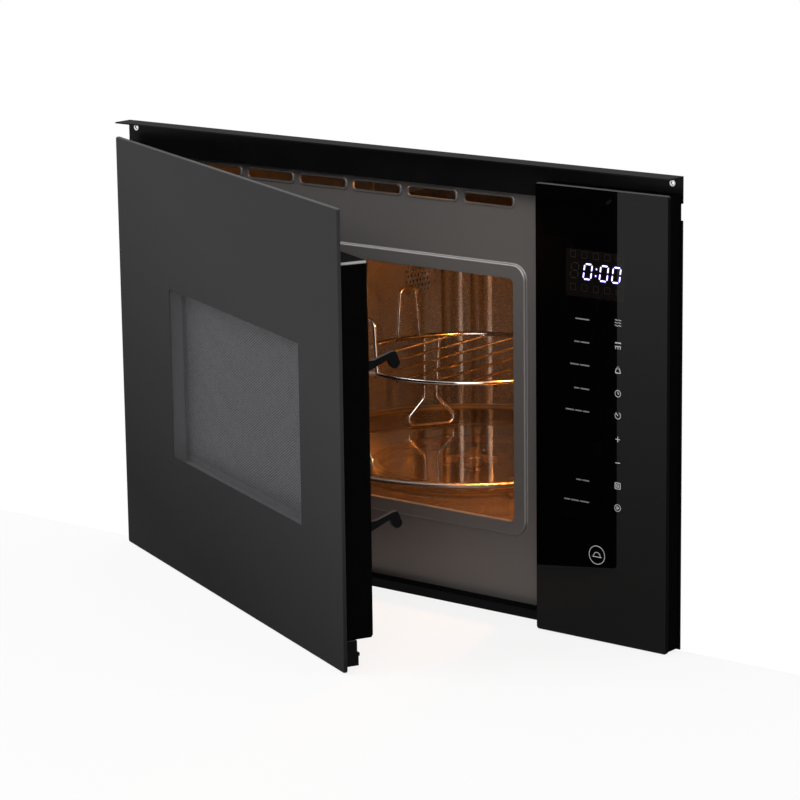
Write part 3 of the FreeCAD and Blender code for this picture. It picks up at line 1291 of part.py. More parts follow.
def line_filter():
    """Mains filter board on four posts above the cavity, with its coil and a capacitor."""
    x0 = CAV_X1 - FILTER_SIDE - FILTER_WIDTH
    d0 = PLATE_BACK_D + FILTER_FRONT
    z0 = OPEN_Z1 + LINER
    board_z = z0 + FILTER_STAND
    pieces = [slab(x0, x0 + FILTER_WIDTH, d0, d0 + FILTER_DEPTH, board_z, board_z + FILTER_SHEET)]
    for x in (x0 + 2 * FILTER_POST, x0 + FILTER_WIDTH - 2 * FILTER_POST):
        for depth in (d0 + 2 * FILTER_POST, d0 + FILTER_DEPTH - 2 * FILTER_POST):
            pieces.append(rod(at(x, depth, z0), Vector(0, 0, 1), FILTER_POST, FILTER_STAND))
    coil_x = x0 + FILTER_WIDTH * FILTER_COIL_SHARE
    block_x = x0 + FILTER_WIDTH * FILTER_BLOCK_SHARE
    middle = d0 + FILTER_DEPTH / 2
    half = CHOKE_COIL / 2
    top = board_z + FILTER_SHEET
    pieces.append(rod(at(coil_x, middle, top), Vector(0, 0, 1), half, CHOKE_COIL_HEIGHT))
    pieces.append(slab(
        block_x, block_x + CHOKE_COIL, middle - half / 2, middle + half / 2, top, top + CHOKE_COIL,
    ))
    return fused(pieces)


# Cabinet
def pressed_field(length, width, proud, radius):
    """Shallow raised field on the XY plane, centred on the origin, with rounded edges."""
    block = Part.makeBox(length, width, proud, Vector(-length / 2, -width / 2, 0))
    block = block.makeFillet(radius, edges_along(block, Vector(0, 0, 1)))
    top = [edge for edge in block.Edges if edge.BoundBox.ZMin > proud / 2]
    return block.makeFillet(PRESSED_EDGE, top)


def raised(panel, length, width, radius, sheet, place):
    """Panel with a field pressed outwards at a place, hollow behind by the sheet's thickness."""
    outer = pressed_field(length, width, PRESSED_PROUD, radius)
    inner = pressed_field(length - 2 * sheet, width - 2 * sheet, PRESSED_PROUD, radius - sheet)
    inner.translate(Vector(0, 0, -sheet))
    outer.Placement = place
    inner.Placement = place.multiply(inner.Placement)
    return panel.fuse(outer).cut(inner)


def base_plate():
    """Base sheet with an upstand behind the front plate."""
    sheet = slab(-PLATE_X, PLATE_X, PLATE_BACK_D, REAR_D, 0, BASE_SHEET)
    upstand = slab(-PLATE_X + COVER_SHEET, PLATE_X - COVER_SHEET, PLATE_BACK_D, PLATE_BACK_D + BASE_SHEET, 0,
                   BASE_UPSTAND)
    return fused([sheet, upstand])


def cabinet_cover():
    """Sides and top in one bent sheet."""
    outer = slab(-PLATE_X, PLATE_X, PLATE_BACK_D, REAR_D, BASE_SHEET, PLATE_Z1)
    inner = PLATE_X - COVER_SHEET
    cover = outer.cut(slab(-inner, inner, PLATE_BACK_D, REAR_D, BASE_SHEET, PLATE_Z1 - COVER_SHEET))
    length = REAR_D - PLATE_BACK_D
    middle_d = PLATE_BACK_D + length / 2
    for side in (-1, 1):
        place = FreeCAD.Placement(at(side * PLATE_X, middle_d, PLATE_Z1 / 2),
                                  FreeCAD.Rotation(Vector(0, 0, 1), Vector(side, 0, 0)))
        cover = raised(cover, PLATE_Z1 - 2 * SIDE_FIELD_INSET, length - 2 * SIDE_FIELD_INSET, PRESSED_RADIUS,
                       COVER_SHEET, place)
    pitch = 2 * PLATE_X / (TOP_RIB_COUNT + 1)
    for number in range(TOP_RIB_COUNT):
        place = FreeCAD.Placement(at((number + 1) * pitch - PLATE_X, middle_d, PLATE_Z1), FreeCAD.Rotation())
        cover = raised(cover, TOP_RIB_WIDTH, length - 2 * SIDE_FIELD_INSET, TOP_RIB_WIDTH / 2 - COVER_SHEET,
                       COVER_SHEET, place)
    for number in range(LOUVRE_COUNT):
        z = PLATE_Z1 - LOUVRE_DROP - number * LOUVRE_PITCH
        back = REAR_D - LOUVRE_BACK
        cover = cover.cut(slab(
            -PLATE_X - PRESSED_PROUD, -inner, back - LOUVRE_LENGTH, back, z, z + LOUVRE_HEIGHT,
        ))
    return cover


def gland_centre(depth):
    """Point on the cord gland's axis."""
    return at(PLATE_X - GLAND_SIDE, depth, GLAND_Z)


def rear_panel():
    """Back sheet with the fan's air slots and the gland's hole."""
    panel = slab(-PLATE_X, PLATE_X, REAR_D, BODY_DEPTH, 0, PLATE_Z1)
    reach = DUCT_SIDE - 2 * DUCT_WALL
    for row in range(REAR_SLOT_ROWS):
        for side in (-1, 1):
            z = FAN_Z + side * (FAN_MOTOR_SIZE / 2 + REAR_SLOT_PITCH * (row + 1))
            panel = panel.cut(slab(
                FAN_X - reach, FAN_X + reach, REAR_D, BODY_DEPTH,
                z - REAR_SLOT_HEIGHT / 2, z + REAR_SLOT_HEIGHT / 2,
            ))
    height = PLATE_Z1 - 2 * REAR_FIELD_INSET
    middle = at(REAR_FIELD_INSET + REAR_FIELD_WIDTH / 2 - PLATE_X, BODY_DEPTH, PLATE_Z1 / 2)
    place = FreeCAD.Placement(middle, FreeCAD.Rotation(Vector(0, 0, 1), Vector(0, 1, 0)))
    panel = raised(panel, REAR_FIELD_WIDTH, height, PRESSED_RADIUS, REAR_SHEET, place)
    return panel.cut(rod(gland_centre(REAR_D), Vector(0, 1, 0), GLAND_BORE, REAR_SHEET))


def cord_gland():
    """Ring on the rear panel where the mains cord goes in."""
    start = gland_centre(BODY_DEPTH)
    ring = Part.makeCone(GLAND_RADIUS, GLAND_END, GLAND_REACH, start, Vector(0, 1, 0))
    return ring.cut(rod(start, Vector(0, 1, 0), GLAND_BORE, GLAND_REACH))


def cover_screws():
    """Screw heads round the rear panel."""
    heads = []
    for side in (-1, 0, 1):
        for z in (SCREW_INSET, PLATE_Z1 - SCREW_INSET):
            start = at(side * (PLATE_X - SCREW_INSET), BODY_DEPTH, z)
            heads.append(rod(start, Vector(0, 1, 0), SCREW_HEAD_RADIUS, SCREW_HEAD_HEIGHT))
    return Part.makeCompound(heads)


PIECES = [
    trim_frame, fixing_eyelets, front_plate, cavity_wrap, cavity_floor, cavity_back, waveguide_cover,
    grill_heater, heater_clips, door_glass, door_frame, choke_panel, door_screen, inner_window, choke_cover,
    door_bottom_rail, latch_slide, latch_spring, hinge_upper, hinge_lower, hinge_screws, interlock_bracket,
    interlock_switches, control_glass, control_housing, display_module, touch_sensor, control_board,
    turntable_plate, drive_coupler, drive_shaft, turntable_motor, roller_ring, grill_rack, lamp_holder,
    lamp_bulb, waveguide, magnetron, magnetron_thermostat, cavity_thermostat, transformer_core,
    transformer_coils, hv_capacitor, capacitor_clamp, hv_diode, fan_duct, fan_motor, fan_blade, line_filter,
    base_plate, cabinet_cover, rear_panel, cord_gland, cover_screws,
]

os.makedirs("parts", exist_ok=True)
for piece in PIECES:
    piece().exportStep("parts/" + piece.__name__ + ".step")
for index in range(len(SWITCH_Z)):
    switch_plunger(index).exportStep("parts/switch_plunger_" + str(index + 1) + ".step")
for index in range(ROLLER_COUNT):
    roller(index).exportStep("parts/roller_" + str(index + 1) + ".step")
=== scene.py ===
"""Looks of a built-in microwave oven with its door ajar, laid out as an add-on and run as a script."""

import json
import math

import bmesh
import bpy
from bpy.props import FloatProperty, FloatVectorProperty, IntProperty, PointerProperty
from bpy.types import Operator, Panel, PropertyGroup
from mathutils import Matrix, Vector


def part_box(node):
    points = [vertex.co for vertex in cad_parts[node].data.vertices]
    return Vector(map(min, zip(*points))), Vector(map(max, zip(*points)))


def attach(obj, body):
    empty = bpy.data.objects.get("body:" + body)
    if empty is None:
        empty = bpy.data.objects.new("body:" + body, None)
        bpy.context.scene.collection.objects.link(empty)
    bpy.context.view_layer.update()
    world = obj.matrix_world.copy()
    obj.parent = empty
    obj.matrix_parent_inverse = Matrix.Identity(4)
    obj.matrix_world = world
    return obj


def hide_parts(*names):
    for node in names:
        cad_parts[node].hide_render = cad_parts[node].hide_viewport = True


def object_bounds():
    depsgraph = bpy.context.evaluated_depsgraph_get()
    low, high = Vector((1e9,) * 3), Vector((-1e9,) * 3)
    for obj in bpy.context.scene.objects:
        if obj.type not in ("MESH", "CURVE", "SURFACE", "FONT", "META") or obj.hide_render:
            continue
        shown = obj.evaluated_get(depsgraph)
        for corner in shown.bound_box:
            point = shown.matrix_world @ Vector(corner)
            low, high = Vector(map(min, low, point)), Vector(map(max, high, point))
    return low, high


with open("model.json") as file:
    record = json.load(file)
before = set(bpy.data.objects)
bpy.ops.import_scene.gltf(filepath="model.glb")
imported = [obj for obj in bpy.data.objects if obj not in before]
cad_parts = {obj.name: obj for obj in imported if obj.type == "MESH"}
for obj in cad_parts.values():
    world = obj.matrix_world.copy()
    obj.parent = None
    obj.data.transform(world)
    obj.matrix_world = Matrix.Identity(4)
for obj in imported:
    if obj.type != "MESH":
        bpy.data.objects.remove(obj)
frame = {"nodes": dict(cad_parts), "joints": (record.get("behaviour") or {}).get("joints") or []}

bl_info = {
    "name": "Built-in microwave looks",
    "version": (1, 0, 0),
    "blender": (4, 5, 0),
    "location": "View3D > Sidebar > Microwave",
    "description": "Finishes, printed controls, door screen and studio for a built-in microwave oven",
    "category": "Object",
}

MM = 0.001
CAD_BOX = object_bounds()

# Where the door hangs at rest, from the frame
DOOR_JOINT = next(joint for joint in frame["joints"] if joint["name"] == "door_swing")
HINGE = Vector(DOOR_JOINT["pos_m"])
AJAR = math.radians(-DOOR_JOINT["range_deg"][0])

# Planes and corners that the pieces and lamps sit on, from the frame
PANEL_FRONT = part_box("control_glass")[0].y
TRIM_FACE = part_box("fixing_eyelets")[1].y
BODY_LOW, BODY_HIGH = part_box("cabinet_cover")
LAMP_LOW, LAMP_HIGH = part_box("lamp_bulb")
CAVITY_LOW, CAVITY_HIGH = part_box("cavity_wrap")
TABLE_LOW, TABLE_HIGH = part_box("turntable_plate")


# Settings that a user would change
class MicrowaveFinish(PropertyGroup):
    """Colours and gloss of the oven's main surfaces."""

    paint: FloatVectorProperty(
        name="Trim paint", description="Colour of the folded steel surround",
        default=(0.0035, 0.0035, 0.0040), size=3, min=0, max=1, subtype="COLOR",
    )
    front: FloatVectorProperty(
        name="Cavity front", description="Colour of the satin grey plate round the opening",
        default=(0.172, 0.162, 0.156), size=3, min=0, max=1, subtype="COLOR",
    )
    lining: FloatVectorProperty(
        name="Cavity lining", description="Colour of the walls inside the oven",
        default=(0.37, 0.335, 0.30), size=3, min=0, max=1, subtype="COLOR",
    )
    moulding: FloatVectorProperty(
        name="Black moulding", description="Colour of the plastic parts",
        default=(0.0013, 0.0013, 0.0015), size=3, min=0, max=1, subtype="COLOR",
    )
    door_print: FloatVectorProperty(
        name="Door print", description="Colour behind the door's glass",
        default=(0.0045, 0.0044, 0.0046), size=3, min=0, max=1, subtype="COLOR",
    )
    door_gloss: FloatProperty(
        name="Door gloss", description="Share of light that the door's glass mirrors head on",
        default=0.006, min=0, max=0.1, subtype="FACTOR",
    )
    door_sheen: FloatProperty(
        name="Door sheen", description="Share of light that the door's glass mirrors edge on",
        default=0.40, min=0, max=1, subtype="FACTOR",
    )
    panel_gloss: FloatProperty(
        name="Panel gloss", description="Share of light that the control glass mirrors head on",
        default=0.025, min=0, max=0.1, subtype="FACTOR",
    )
    window_tint: FloatVectorProperty(
        name="Window tint", description="Colour that the door's window lets through",
        default=(0.80, 0.80, 0.81), size=3, min=0, max=1, subtype="COLOR",
    )


class MicrowaveWindow(PropertyGroup):
    """Door window and its perforated screen, with the door shut."""

    left: FloatProperty(name="Left edge", description="Window's left edge", default=-0.182, unit="LENGTH")
    right: FloatProperty(name="Right edge", description="Window's right edge", default=0.0873, unit="LENGTH")
    low: FloatProperty(name="Lower edge", description="Window's lower edge", default=0.1066, unit="LENGTH")
    high: FloatProperty(name="Upper edge", description="Window's upper edge", default=0.2575, unit="LENGTH")
    margin: FloatProperty(
        name="Screen margin", description="Plain edge of the screen round the window",
        default=0.006, unit="LENGTH",
    )
    pitch: FloatProperty(
        name="Hole pitch", description="Distance between neighbouring holes", default=0.0024, unit="LENGTH",
    )
    hole: FloatProperty(name="Hole size", description="Diameter of a hole", default=0.0012, unit="LENGTH")


class MicrowaveControls(PropertyGroup):
    """Lit display and printed marks on the control glass."""

    digit_width: FloatProperty(
        name="Digit width", description="Width of one digit", default=0.0083, unit="LENGTH",
    )
    digit_height: FloatProperty(
        name="Digit height", description="Height of one digit", default=0.0134, unit="LENGTH",
    )
    digit_low: FloatProperty(
        name="Digit foot", description="Height of the digits' lower edge", default=0.3027, unit="LENGTH",
    )
    segment: FloatProperty(
        name="Segment width", description="Width of a lit bar", default=0.00100, unit="LENGTH",
    )
    slant: FloatProperty(
        name="Digit slant", description="Lean of the digits", default=math.radians(8), subtype="ANGLE",
    )
    glow: FloatVectorProperty(
        name="Display glow", description="Colour round the lit bars",
        default=(0.16, 0.09, 0.80), size=3, min=0, max=1, subtype="COLOR",
    )
    mark: FloatVectorProperty(
        name="Printed marks", description="Colour of the printed signs",
        default=(0.80, 0.80, 0.80), size=3, min=0, max=1, subtype="COLOR",
    )
    sign_x: FloatProperty(
        name="Sign column", description="Middle of the column of signs", default=0.2496, unit="LENGTH",
    )
    sign_size: FloatProperty(
        name="Sign size", description="Width of a printed sign", default=0.0057, unit="LENGTH",
    )
    line: FloatProperty(
        name="Line width", description="Width of a printed line", default=0.00045, unit="LENGTH",
    )


class MicrowaveStudio(PropertyGroup):
    """Camera, lamps and backdrop."""

    camera_place: FloatVectorProperty(
        name="Camera place", description="Where the camera stands",
        default=(1.6979, -2.3171, 0.7902), size=3, subtype="TRANSLATION", unit="LENGTH",
    )
    camera_yaw: FloatProperty(
        name="Camera yaw", description="Turn to the left of straight ahead",
        default=math.radians(38.385), subtype="ANGLE",
    )
    camera_pitch: FloatProperty(
        name="Camera pitch", description="Look below the horizon",
        default=math.radians(12.803), subtype="ANGLE",
    )
    camera_roll: FloatProperty(
        name="Camera roll", description="Tilt about the line of sight",
        default=math.radians(-0.743), subtype="ANGLE",
    )
    focal_pixels: FloatProperty(
        name="Focal length", description="Focal length in pixels of the square picture", default=3249.4,
    )
    picture_side: IntProperty(
        name="Picture side", description="Width and height of the picture in pixels",
        default=800, subtype="PIXEL",
    )
    ambient: FloatProperty(
        name="Ambient light", description="Level of the even light from all round", default=0.55, min=0,
    )
    key: FloatProperty(
        name="Key light", description="Power of the large soft light", default=45.0, min=0, unit="POWER",
    )
    fill: FloatProperty(
        name="Fill light", description="Power of the second soft light", default=22.0, min=0, unit="POWER",
    )
    oven_lamp: FloatProperty(
        name="Oven lamp", description="Power of the lamp inside the oven", default=1.75, min=0, unit="POWER",
    )
    vent_glow: FloatProperty(
        name="Vent glow", description="Power of the light that spills behind the vents",
        default=0.14, min=0, unit="POWER",
    )
    vent_colour: FloatVectorProperty(
        name="Vent colour", description="Colour of the light behind the vents",
        default=(1.0, 0.30, 0.03), size=3, min=0, max=1, subtype="COLOR",
    )
    lamp_colour: FloatVectorProperty(
        name="Lamp colour", description="Colour of the oven's own light",
        default=(1.0, 0.34, 0.05), size=3, min=0, max=1, subtype="COLOR",
    )


# Building blocks of the finishes
UP = (0, 0, 1)
EVEN = (1, 1, 1)
DRAWN = (1, 1, 0.15)
ROLLED = (1, 1, 0.1)
WHITE = (1, 1, 1)
# Pale colour of glass edges that face up: partly their frosted grinding, partly painted light from above
GROUND_EDGE_TOP_LIGHT = (0.13, 0.13, 0.13)
NOISE_ROUGHNESS = 0.55
GRAIN_DETAIL = 2.0
# Part of a noise's range that holds most of its values
NOISE_LOW, NOISE_HIGH = 0.3, 0.7
FACING_BLEND = 0.5
FRESNEL_POWER = 5.0
# Gloss that is left on a glass sheet's ground edges
DIMMED_GLOSS = 0.25


def scaled(colour, share):
    """Colour made lighter or darker, up to white."""
    return tuple(min(1.0, channel * share) for channel in colour)


class Nodes:
    """A node tree and the steps that looks are made of."""

    def __init__(self, tree):
        self.tree = tree

    def put(self, value, socket):
        """Another node's output or a plain value on a socket."""
        if isinstance(value, bpy.types.NodeSocket):
            self.tree.links.new(value, socket)
        elif socket.type == "RGBA":
            socket.default_value = (*value[:3], 1.0)
        else:
            socket.default_value = value

    def node(self, kind, **inputs):
        """New node with its inputs set by their names."""
        made = self.tree.nodes.new(kind)
        for name, value in inputs.items():
            self.put(value, made.inputs[name])
        return made

    def row(self, kind, *values):
        """New node with its first inputs set in order."""
        made = self.tree.nodes.new(kind)
        for value, socket in zip(values, made.inputs):
            self.put(value, socket)
        return made

    def reckon(self, operation, *values):
        """Number worked out from numbers."""
        made = self.row("ShaderNodeMath", *values)
        made.operation = operation
        return made.outputs["Value"]

    def compare(self, operation, first, second):
        """Number worked out from two vectors."""
        made = self.row("ShaderNodeVectorMath", first, second)
        made.operation = operation
        return made.outputs["Value"]

    def span(self, value, low, high, least=0.0, most=1.0):
        """Number moved from one range to another, and kept inside it."""
        limits = {"From Min": low, "From Max": high, "To Min": least, "To Max": most}
        return self.node("ShaderNodeMapRange", Value=value, **limits).outputs["Result"]

    def blend(self, share, first, second):
        """Colour between two colours."""
        made = self.tree.nodes.new("ShaderNodeMix")
        made.data_type = "RGBA"
        self.put(share, made.inputs["Factor"])
        colours = [socket for socket in made.inputs if socket.type == "RGBA"]
        self.put(first, colours[0])
        self.put(second, colours[1])
        return next(socket for socket in made.outputs if socket.type == "RGBA")

    def mixed(self, share, first, second):
        """Shader between two shaders."""
        return self.row("ShaderNodeMixShader", share, first, second).outputs["Shader"]

    def clear(self, tint=WHITE):
        """Shader that lets light straight through."""
        return self.node("ShaderNodeBsdfTransparent", Color=tint).outputs["BSDF"]

    def white_light(self, level):
        """Shader that gives plain white light."""
        return self.node("ShaderNodeEmission", Color=WHITE, Strength=level).outputs["Emission"]

    def ray(self, kind):
        """One for rays of a kind, and nought for others."""
        return self.node("ShaderNodeLightPath").outputs[f"Is {kind} Ray"]

    def seen_share(self):
        """One for rays that show the backdrop: from the camera, from gloss and through glass."""
        share = self.reckon("MAXIMUM", self.ray("Camera"), self.ray("Glossy"))
        return self.reckon("MAXIMUM", share, self.ray("Transmission"))


class Finish(Nodes):
    """A new material, with its looks built up on its main shader."""

    def __init__(self, name, **values):
        self.material = bpy.data.materials.new(name)
        self.material.use_nodes = True
        super().__init__(self.material.node_tree)
        self.shader = self.tree.nodes["Principled BSDF"]
        self.coat = self.shader.outputs["BSDF"]
        self.settings = bpy.context.scene.microwave_finish
        self.base(**values)

    def base(self, **values):
        """Plain values on the main shader, by the names of its sockets."""
        for socket, value in values.items():
            self.join(value, socket.replace("_", " "))

    def join(self, value, socket):
        """Output or plain value on a socket of the main shader."""
        self.put(value, self.shader.inputs[socket])

    def show(self, shader):
        """Shader as the material's surface."""
        self.put(shader, self.tree.nodes["Material Output"].inputs["Surface"])

    def place(self, stretch=EVEN):
        """Position on the object in metres, stretched along its axes."""
        source = self.node("ShaderNodeTexCoord").outputs["Object"]
        return self.node("ShaderNodeMapping", Vector=source, Scale=stretch).outputs["Vector"]

    def parts(self, vector):
        """The three numbers of a vector, by their axes."""
        return self.node("ShaderNodeSeparateXYZ", Vector=vector).outputs

    def noise(self, scale, detail=3.0, stretch=EVEN):
        """Soft random number, with its grain set by the scale."""
        made = self.node(
            "ShaderNodeTexNoise", Vector=self.place(stretch), Scale=scale, Detail=detail,
            Roughness=NOISE_ROUGHNESS,
        )
        return made.outputs["Fac"]

    def drift(self, scale, least=0.0, most=1.0, detail=3.0, stretch=EVEN):
        """Soft random number that runs from one value to another."""
        return self.span(self.noise(scale, detail, stretch), NOISE_LOW, NOISE_HIGH, least, most)

    def cells(self, scale):
        """Random number for each cell of a crystal pattern."""
        made = self.node("ShaderNodeTexVoronoi", Vector=self.place(), Scale=scale)
        return self.span(made.outputs["Color"], 0.0, 1.0)

    def bands(self, scale, direction="X"):
        """Number that rises and falls in bands along an axis."""
        made = self.node("ShaderNodeTexWave", Vector=self.place(), Scale=scale)
        made.bands_direction = direction
        return made.outputs["Fac"]

    def bump(self, height, depth, strength):
        """Relief of that depth in metres on the main shader."""
        made = self.node("ShaderNodeBump", Height=height, Strength=strength, Distance=depth)
        self.join(made.outputs["Normal"], "Normal")

    def grained(self, scale, depth, strength, stretch=EVEN):
        """Fine random relief."""
        self.bump(self.noise(scale, GRAIN_DETAIL, stretch), depth, strength)

    def coloured(self, share, first, second):
        """Main colour between two colours."""
        self.join(self.blend(share, first, second), "Base Color")

    def varied(self, colour, spread, scale):
        """Main colour that drifts a little lighter and darker."""
        self.coloured(self.drift(scale), scaled(colour, 1 - spread), scaled(colour, 1 + spread))

    def worn(self, scale, smooth, rough, detail=3.0, stretch=EVEN):
        """Gloss that drifts between two roughnesses."""
        self.join(self.drift(scale, smooth, rough, detail, stretch), "Roughness")

    def outside(self):
        """One on a surface's outer side, and nought on its inner side."""
        inside = self.node("ShaderNodeNewGeometry").outputs["Backfacing"]
        return self.reckon("SUBTRACT", 1.0, inside)

    def gloss_share(self, head_on, edge_on):
        """Share that a clear surface mirrors, rising towards a grazing view, on its outer side only."""
        facing = self.node("ShaderNodeLayerWeight", Blend=FACING_BLEND).outputs["Facing"]
        rise = self.reckon("POWER", facing, FRESNEL_POWER)
        return self.reckon("MULTIPLY", self.span(rise, 0.0, 1.0, head_on, edge_on), self.outside())

    def glazed(self, under, head_on, edge_on=1.0, roughness=0.0, dimmed=None):
        """Clear glossy skin over a shader, as the material's surface, weaker where it is dimmed."""
        mirror = self.node("ShaderNodeBsdfGlossy", Roughness=roughness).outputs["BSDF"]
        share = self.gloss_share(head_on, edge_on)
        if dimmed is not None:
            share = self.reckon("MULTIPLY", share, self.span(dimmed, 0.0, 1.0, 1.0, DIMMED_GLOSS))
        self.show(self.mixed(share, under, mirror))

    def turned(self, vector, turn, middle=(0, 0, 0)):
        """Vector turned about an upright line."""
        made = self.node("ShaderNodeVectorRotate", Vector=vector, Center=middle, Angle=turn)
        made.rotation_type = "Z_AXIS"
        return made.outputs["Vector"]

    def shut_place(self):
        """Position on the door in metres, with the door turned shut."""
        return self.turned(self.place(), AJAR, HINGE)

    def normal(self):
        """Direction that the surface faces, in the object's own frame."""
        return self.node("ShaderNodeTexCoord").outputs["Normal"]

    def lit_share(self, towards, low, high):
        """Nought to one as a surface turns towards a direction."""
        return self.span(self.compare("DOT_PRODUCT", self.normal(), towards), low, high)

    def edge_share(self, turn):
        """One on a glass sheet's ground edges and nought on its faces, for a sheet turned by an angle."""
        across = self.parts(self.turned(self.normal(), turn))["Y"]
        return self.span(self.reckon("ABSOLUTE", across), 0.75, 0.95, 1.0, 0.0)

    def ground_and_top_lit_glass(self, face):
        """Main colour of a glass sheet, paler on upward ground edges: partly their frosting, partly painted
        light from above.
        """
        self.coloured(self.lit_share(UP, low=0.5, high=0.8), face, GROUND_EDGE_TOP_LIGHT)

    def box_share(self, place, widths, heights, grow=0.0):
        """One inside an upright rectangle, which may grow, and nought outside it."""
        axes = self.parts(place)
        inside = []
        for axis, (low, high) in (("X", widths), ("Z", heights)):
            away = self.reckon("ABSOLUTE", self.reckon("SUBTRACT", axes[axis], (low + high) / 2))
            reach = self.reckon("SUBTRACT", away, grow)
            inside.append(self.reckon("LESS_THAN", reach, (high - low) / 2))
        return self.reckon("MULTIPLY", *inside)


# Painted and plated metal
# Painted highlight: edges of the cavity's front that turn towards this side, up and to the right, take a
# pale colour
HIGHLIGHT_SIDE = (0.66, -0.37, 0.655)
PAINTED_EDGE_HIGHLIGHT = (0.78, 0.76, 0.73)
FLECK_SHADE = 0.9


def black_paint(made):
    """Powder-coated steel of the surround."""
    made.base(Roughness=0.5, Specular_IOR_Level=0.0)
    made.varied(made.settings.paint, spread=0.25, scale=35.0)
    made.grained(2200.0, depth=0.02 * MM, strength=0.5)
    made.glazed(made.coat, head_on=0.013, edge_on=0.10, roughness=0.3)


def bright_plate(made):
    """Plated fixings."""
    made.base(Metallic=1.0)
    made.varied((0.70, 0.73, 0.75), spread=0.10, scale=300.0)
    made.worn(500.0, smooth=0.16, rough=0.34)


def satin_front(made):
    """Satin grey metallic coat of the cavity's front, with a fine fleck and a painted highlight on edges
    facing up and right.
    """
    made.base(Metallic=0.35, Specular_IOR_Level=0.3)
    front = made.settings.front
    coat = made.blend(made.drift(1700.0, detail=4.0), scaled(front, FLECK_SHADE), front)
    # Painted highlight on the edges that turn up and to the right
    made.coloured(made.lit_share(HIGHLIGHT_SIDE, low=0.58, high=1.15), coat, PAINTED_EDGE_HIGHLIGHT)
    made.worn(900.0, smooth=0.28, rough=0.38, detail=4.0)
    made.grained(2600.0, depth=0.02 * MM, strength=0.6)


def cavity_lining(made):
    """Smooth stainless walls with a faint drawn grain."""
    made.base(Metallic=0.75)
    made.varied(made.settings.lining, spread=0.04, scale=900.0)
    made.worn(1300.0, smooth=0.24, rough=0.28)
    made.grained(1500.0, depth=0.004 * MM, strength=0.2, stretch=DRAWN)


def heater_tube(made):
    """Oxidised sheath of the grill element, browned by heat."""
    made.base(Metallic=0.7)
    browned = made.span(made.noise(40.0, detail=5.0), 0.35, 0.65)
    made.coloured(browned, (0.085, 0.075, 0.070), (0.20, 0.14, 0.10))
    made.worn(200.0, smooth=0.36, rough=0.6)


def plain_steel(made):
    """Bare cold-rolled steel."""
    made.base(Metallic=1.0)
    made.varied((0.50, 0.50, 0.50), spread=0.12, scale=120.0)
    made.worn(300.0, smooth=0.28, rough=0.46, stretch=ROLLED)


def drawn_can(made):
    """Drawn aluminium cans."""
    made.base(Metallic=1.0)
    made.varied((0.66, 0.66, 0.67), spread=0.08, scale=90.0)
    made.worn(260.0, smooth=0.24, rough=0.40, stretch=DRAWN)


def galvanised_sheet(made):
    """Zinc-coated sheet with its crystal spangle."""
    made.base(Metallic=0.6, Specular_IOR_Level=0.2)
    spangle = made.cells(85.0)
    zinc = made.blend(made.drift(9.0), (0.50, 0.52, 0.53), (0.58, 0.59, 0.60))
    made.coloured(spangle, zinc, (0.64, 0.65, 0.66))
    made.join(made.span(spangle, 0.0, 1.0, 0.55, 0.72), "Roughness")
    made.grained(700.0, depth=0.02 * MM, strength=0.4)


def core_iron(made):
    """Varnished stack of transformer sheets."""
    made.base(Metallic=0.6)
    layers = made.bands(600.0)
    made.coloured(layers, (0.030, 0.028, 0.027), (0.075, 0.070, 0.066))
    made.worn(200.0, smooth=0.4, rough=0.6)
    made.bump(layers, depth=0.05 * MM, strength=0.5)


def copper_winding(made):
    """Lacquered copper wire, wound side by side."""
    made.base(Metallic=0.9, Roughness=0.32)
    turns = made.bands(420.0, "Z")
    made.coloured(turns, (0.20, 0.065, 0.025), (0.62, 0.24, 0.10))
    made.bump(turns, depth=0.2 * MM, strength=0.6)


def screen_paint(made):
    """Grey paint of the door's screen."""
    made.base(Metallic=0.3, IOR=1.4)
    made.varied((0.26, 0.26, 0.26), spread=0.08, scale=200.0)
    made.worn(500.0, smooth=0.40, rough=0.52)


def chrome_wire(made):
    """Chromed wire, browned in places by the grill."""
    made.base(Metallic=1.0)
    browned = made.span(made.noise(45.0, detail=4.0), 0.45, 0.75)
    made.coloured(browned, (0.78, 0.77, 0.76), (0.60, 0.50, 0.40))
    made.worn(220.0, smooth=0.07, rough=0.20)


# Mouldings, boards and mica
GRAIN_RISE = 1.3
# Painted highlight on the corner edge of the door's body that turns up and to the right
CORNER_SIDE = (0.64, -0.30, 0.707)
PAINTED_CORNER_HIGHLIGHT = (0.45, 0.45, 0.45)
# Painted highlight on the upper faces of the smoother black plastic
PAINTED_TOP_LIGHT = (0.11, 0.11, 0.115)
WINDOW_FRAME_GREY = (0.23, 0.23, 0.233)
# How far the clear window and its grey frame reach past the print's edge, behind the glass
WINDOW_REACH = 0.011


def black_grain(made, scale):
    """Black of a moulding, a little lighter in places."""
    moulding = made.settings.moulding
    return made.blend(made.drift(scale), moulding, scaled(moulding, GRAIN_RISE))


def moulded_skin(made):
    """Fine spark-eroded grain and dull gloss, as the material's surface."""
    made.grained(3000.0, depth=0.03 * MM, strength=0.5)
    made.glazed(made.coat, head_on=0.0010, edge_on=0.05, roughness=0.3)


def white_moulding(made):
    """Plain white plastic."""
    made.base(IOR=1.46)
    made.varied((0.72, 0.71, 0.68), spread=0.04, scale=80.0)
    made.worn(400.0, smooth=0.38, rough=0.52)


def black_moulding(made):
    """Black plastic with a fine grain."""
    made.base(Roughness=0.5, Specular_IOR_Level=0.0)
    made.varied(made.settings.moulding, spread=0.20, scale=90.0)
    moulded_skin(made)


def black_satin(made):
    """Smoother black plastic, with a painted highlight on its upper faces."""
    made.base(Roughness=0.4, Specular_IOR_Level=0.0)
    # Painted highlight: upper faces take a lighter grey
    made.coloured(made.lit_share(UP, low=0.8, high=0.93), black_grain(made, 120.0), PAINTED_TOP_LIGHT)
    made.grained(3000.0, depth=0.02 * MM, strength=0.3)
    made.glazed(made.coat, head_on=0.010, edge_on=0.35, roughness=0.2)


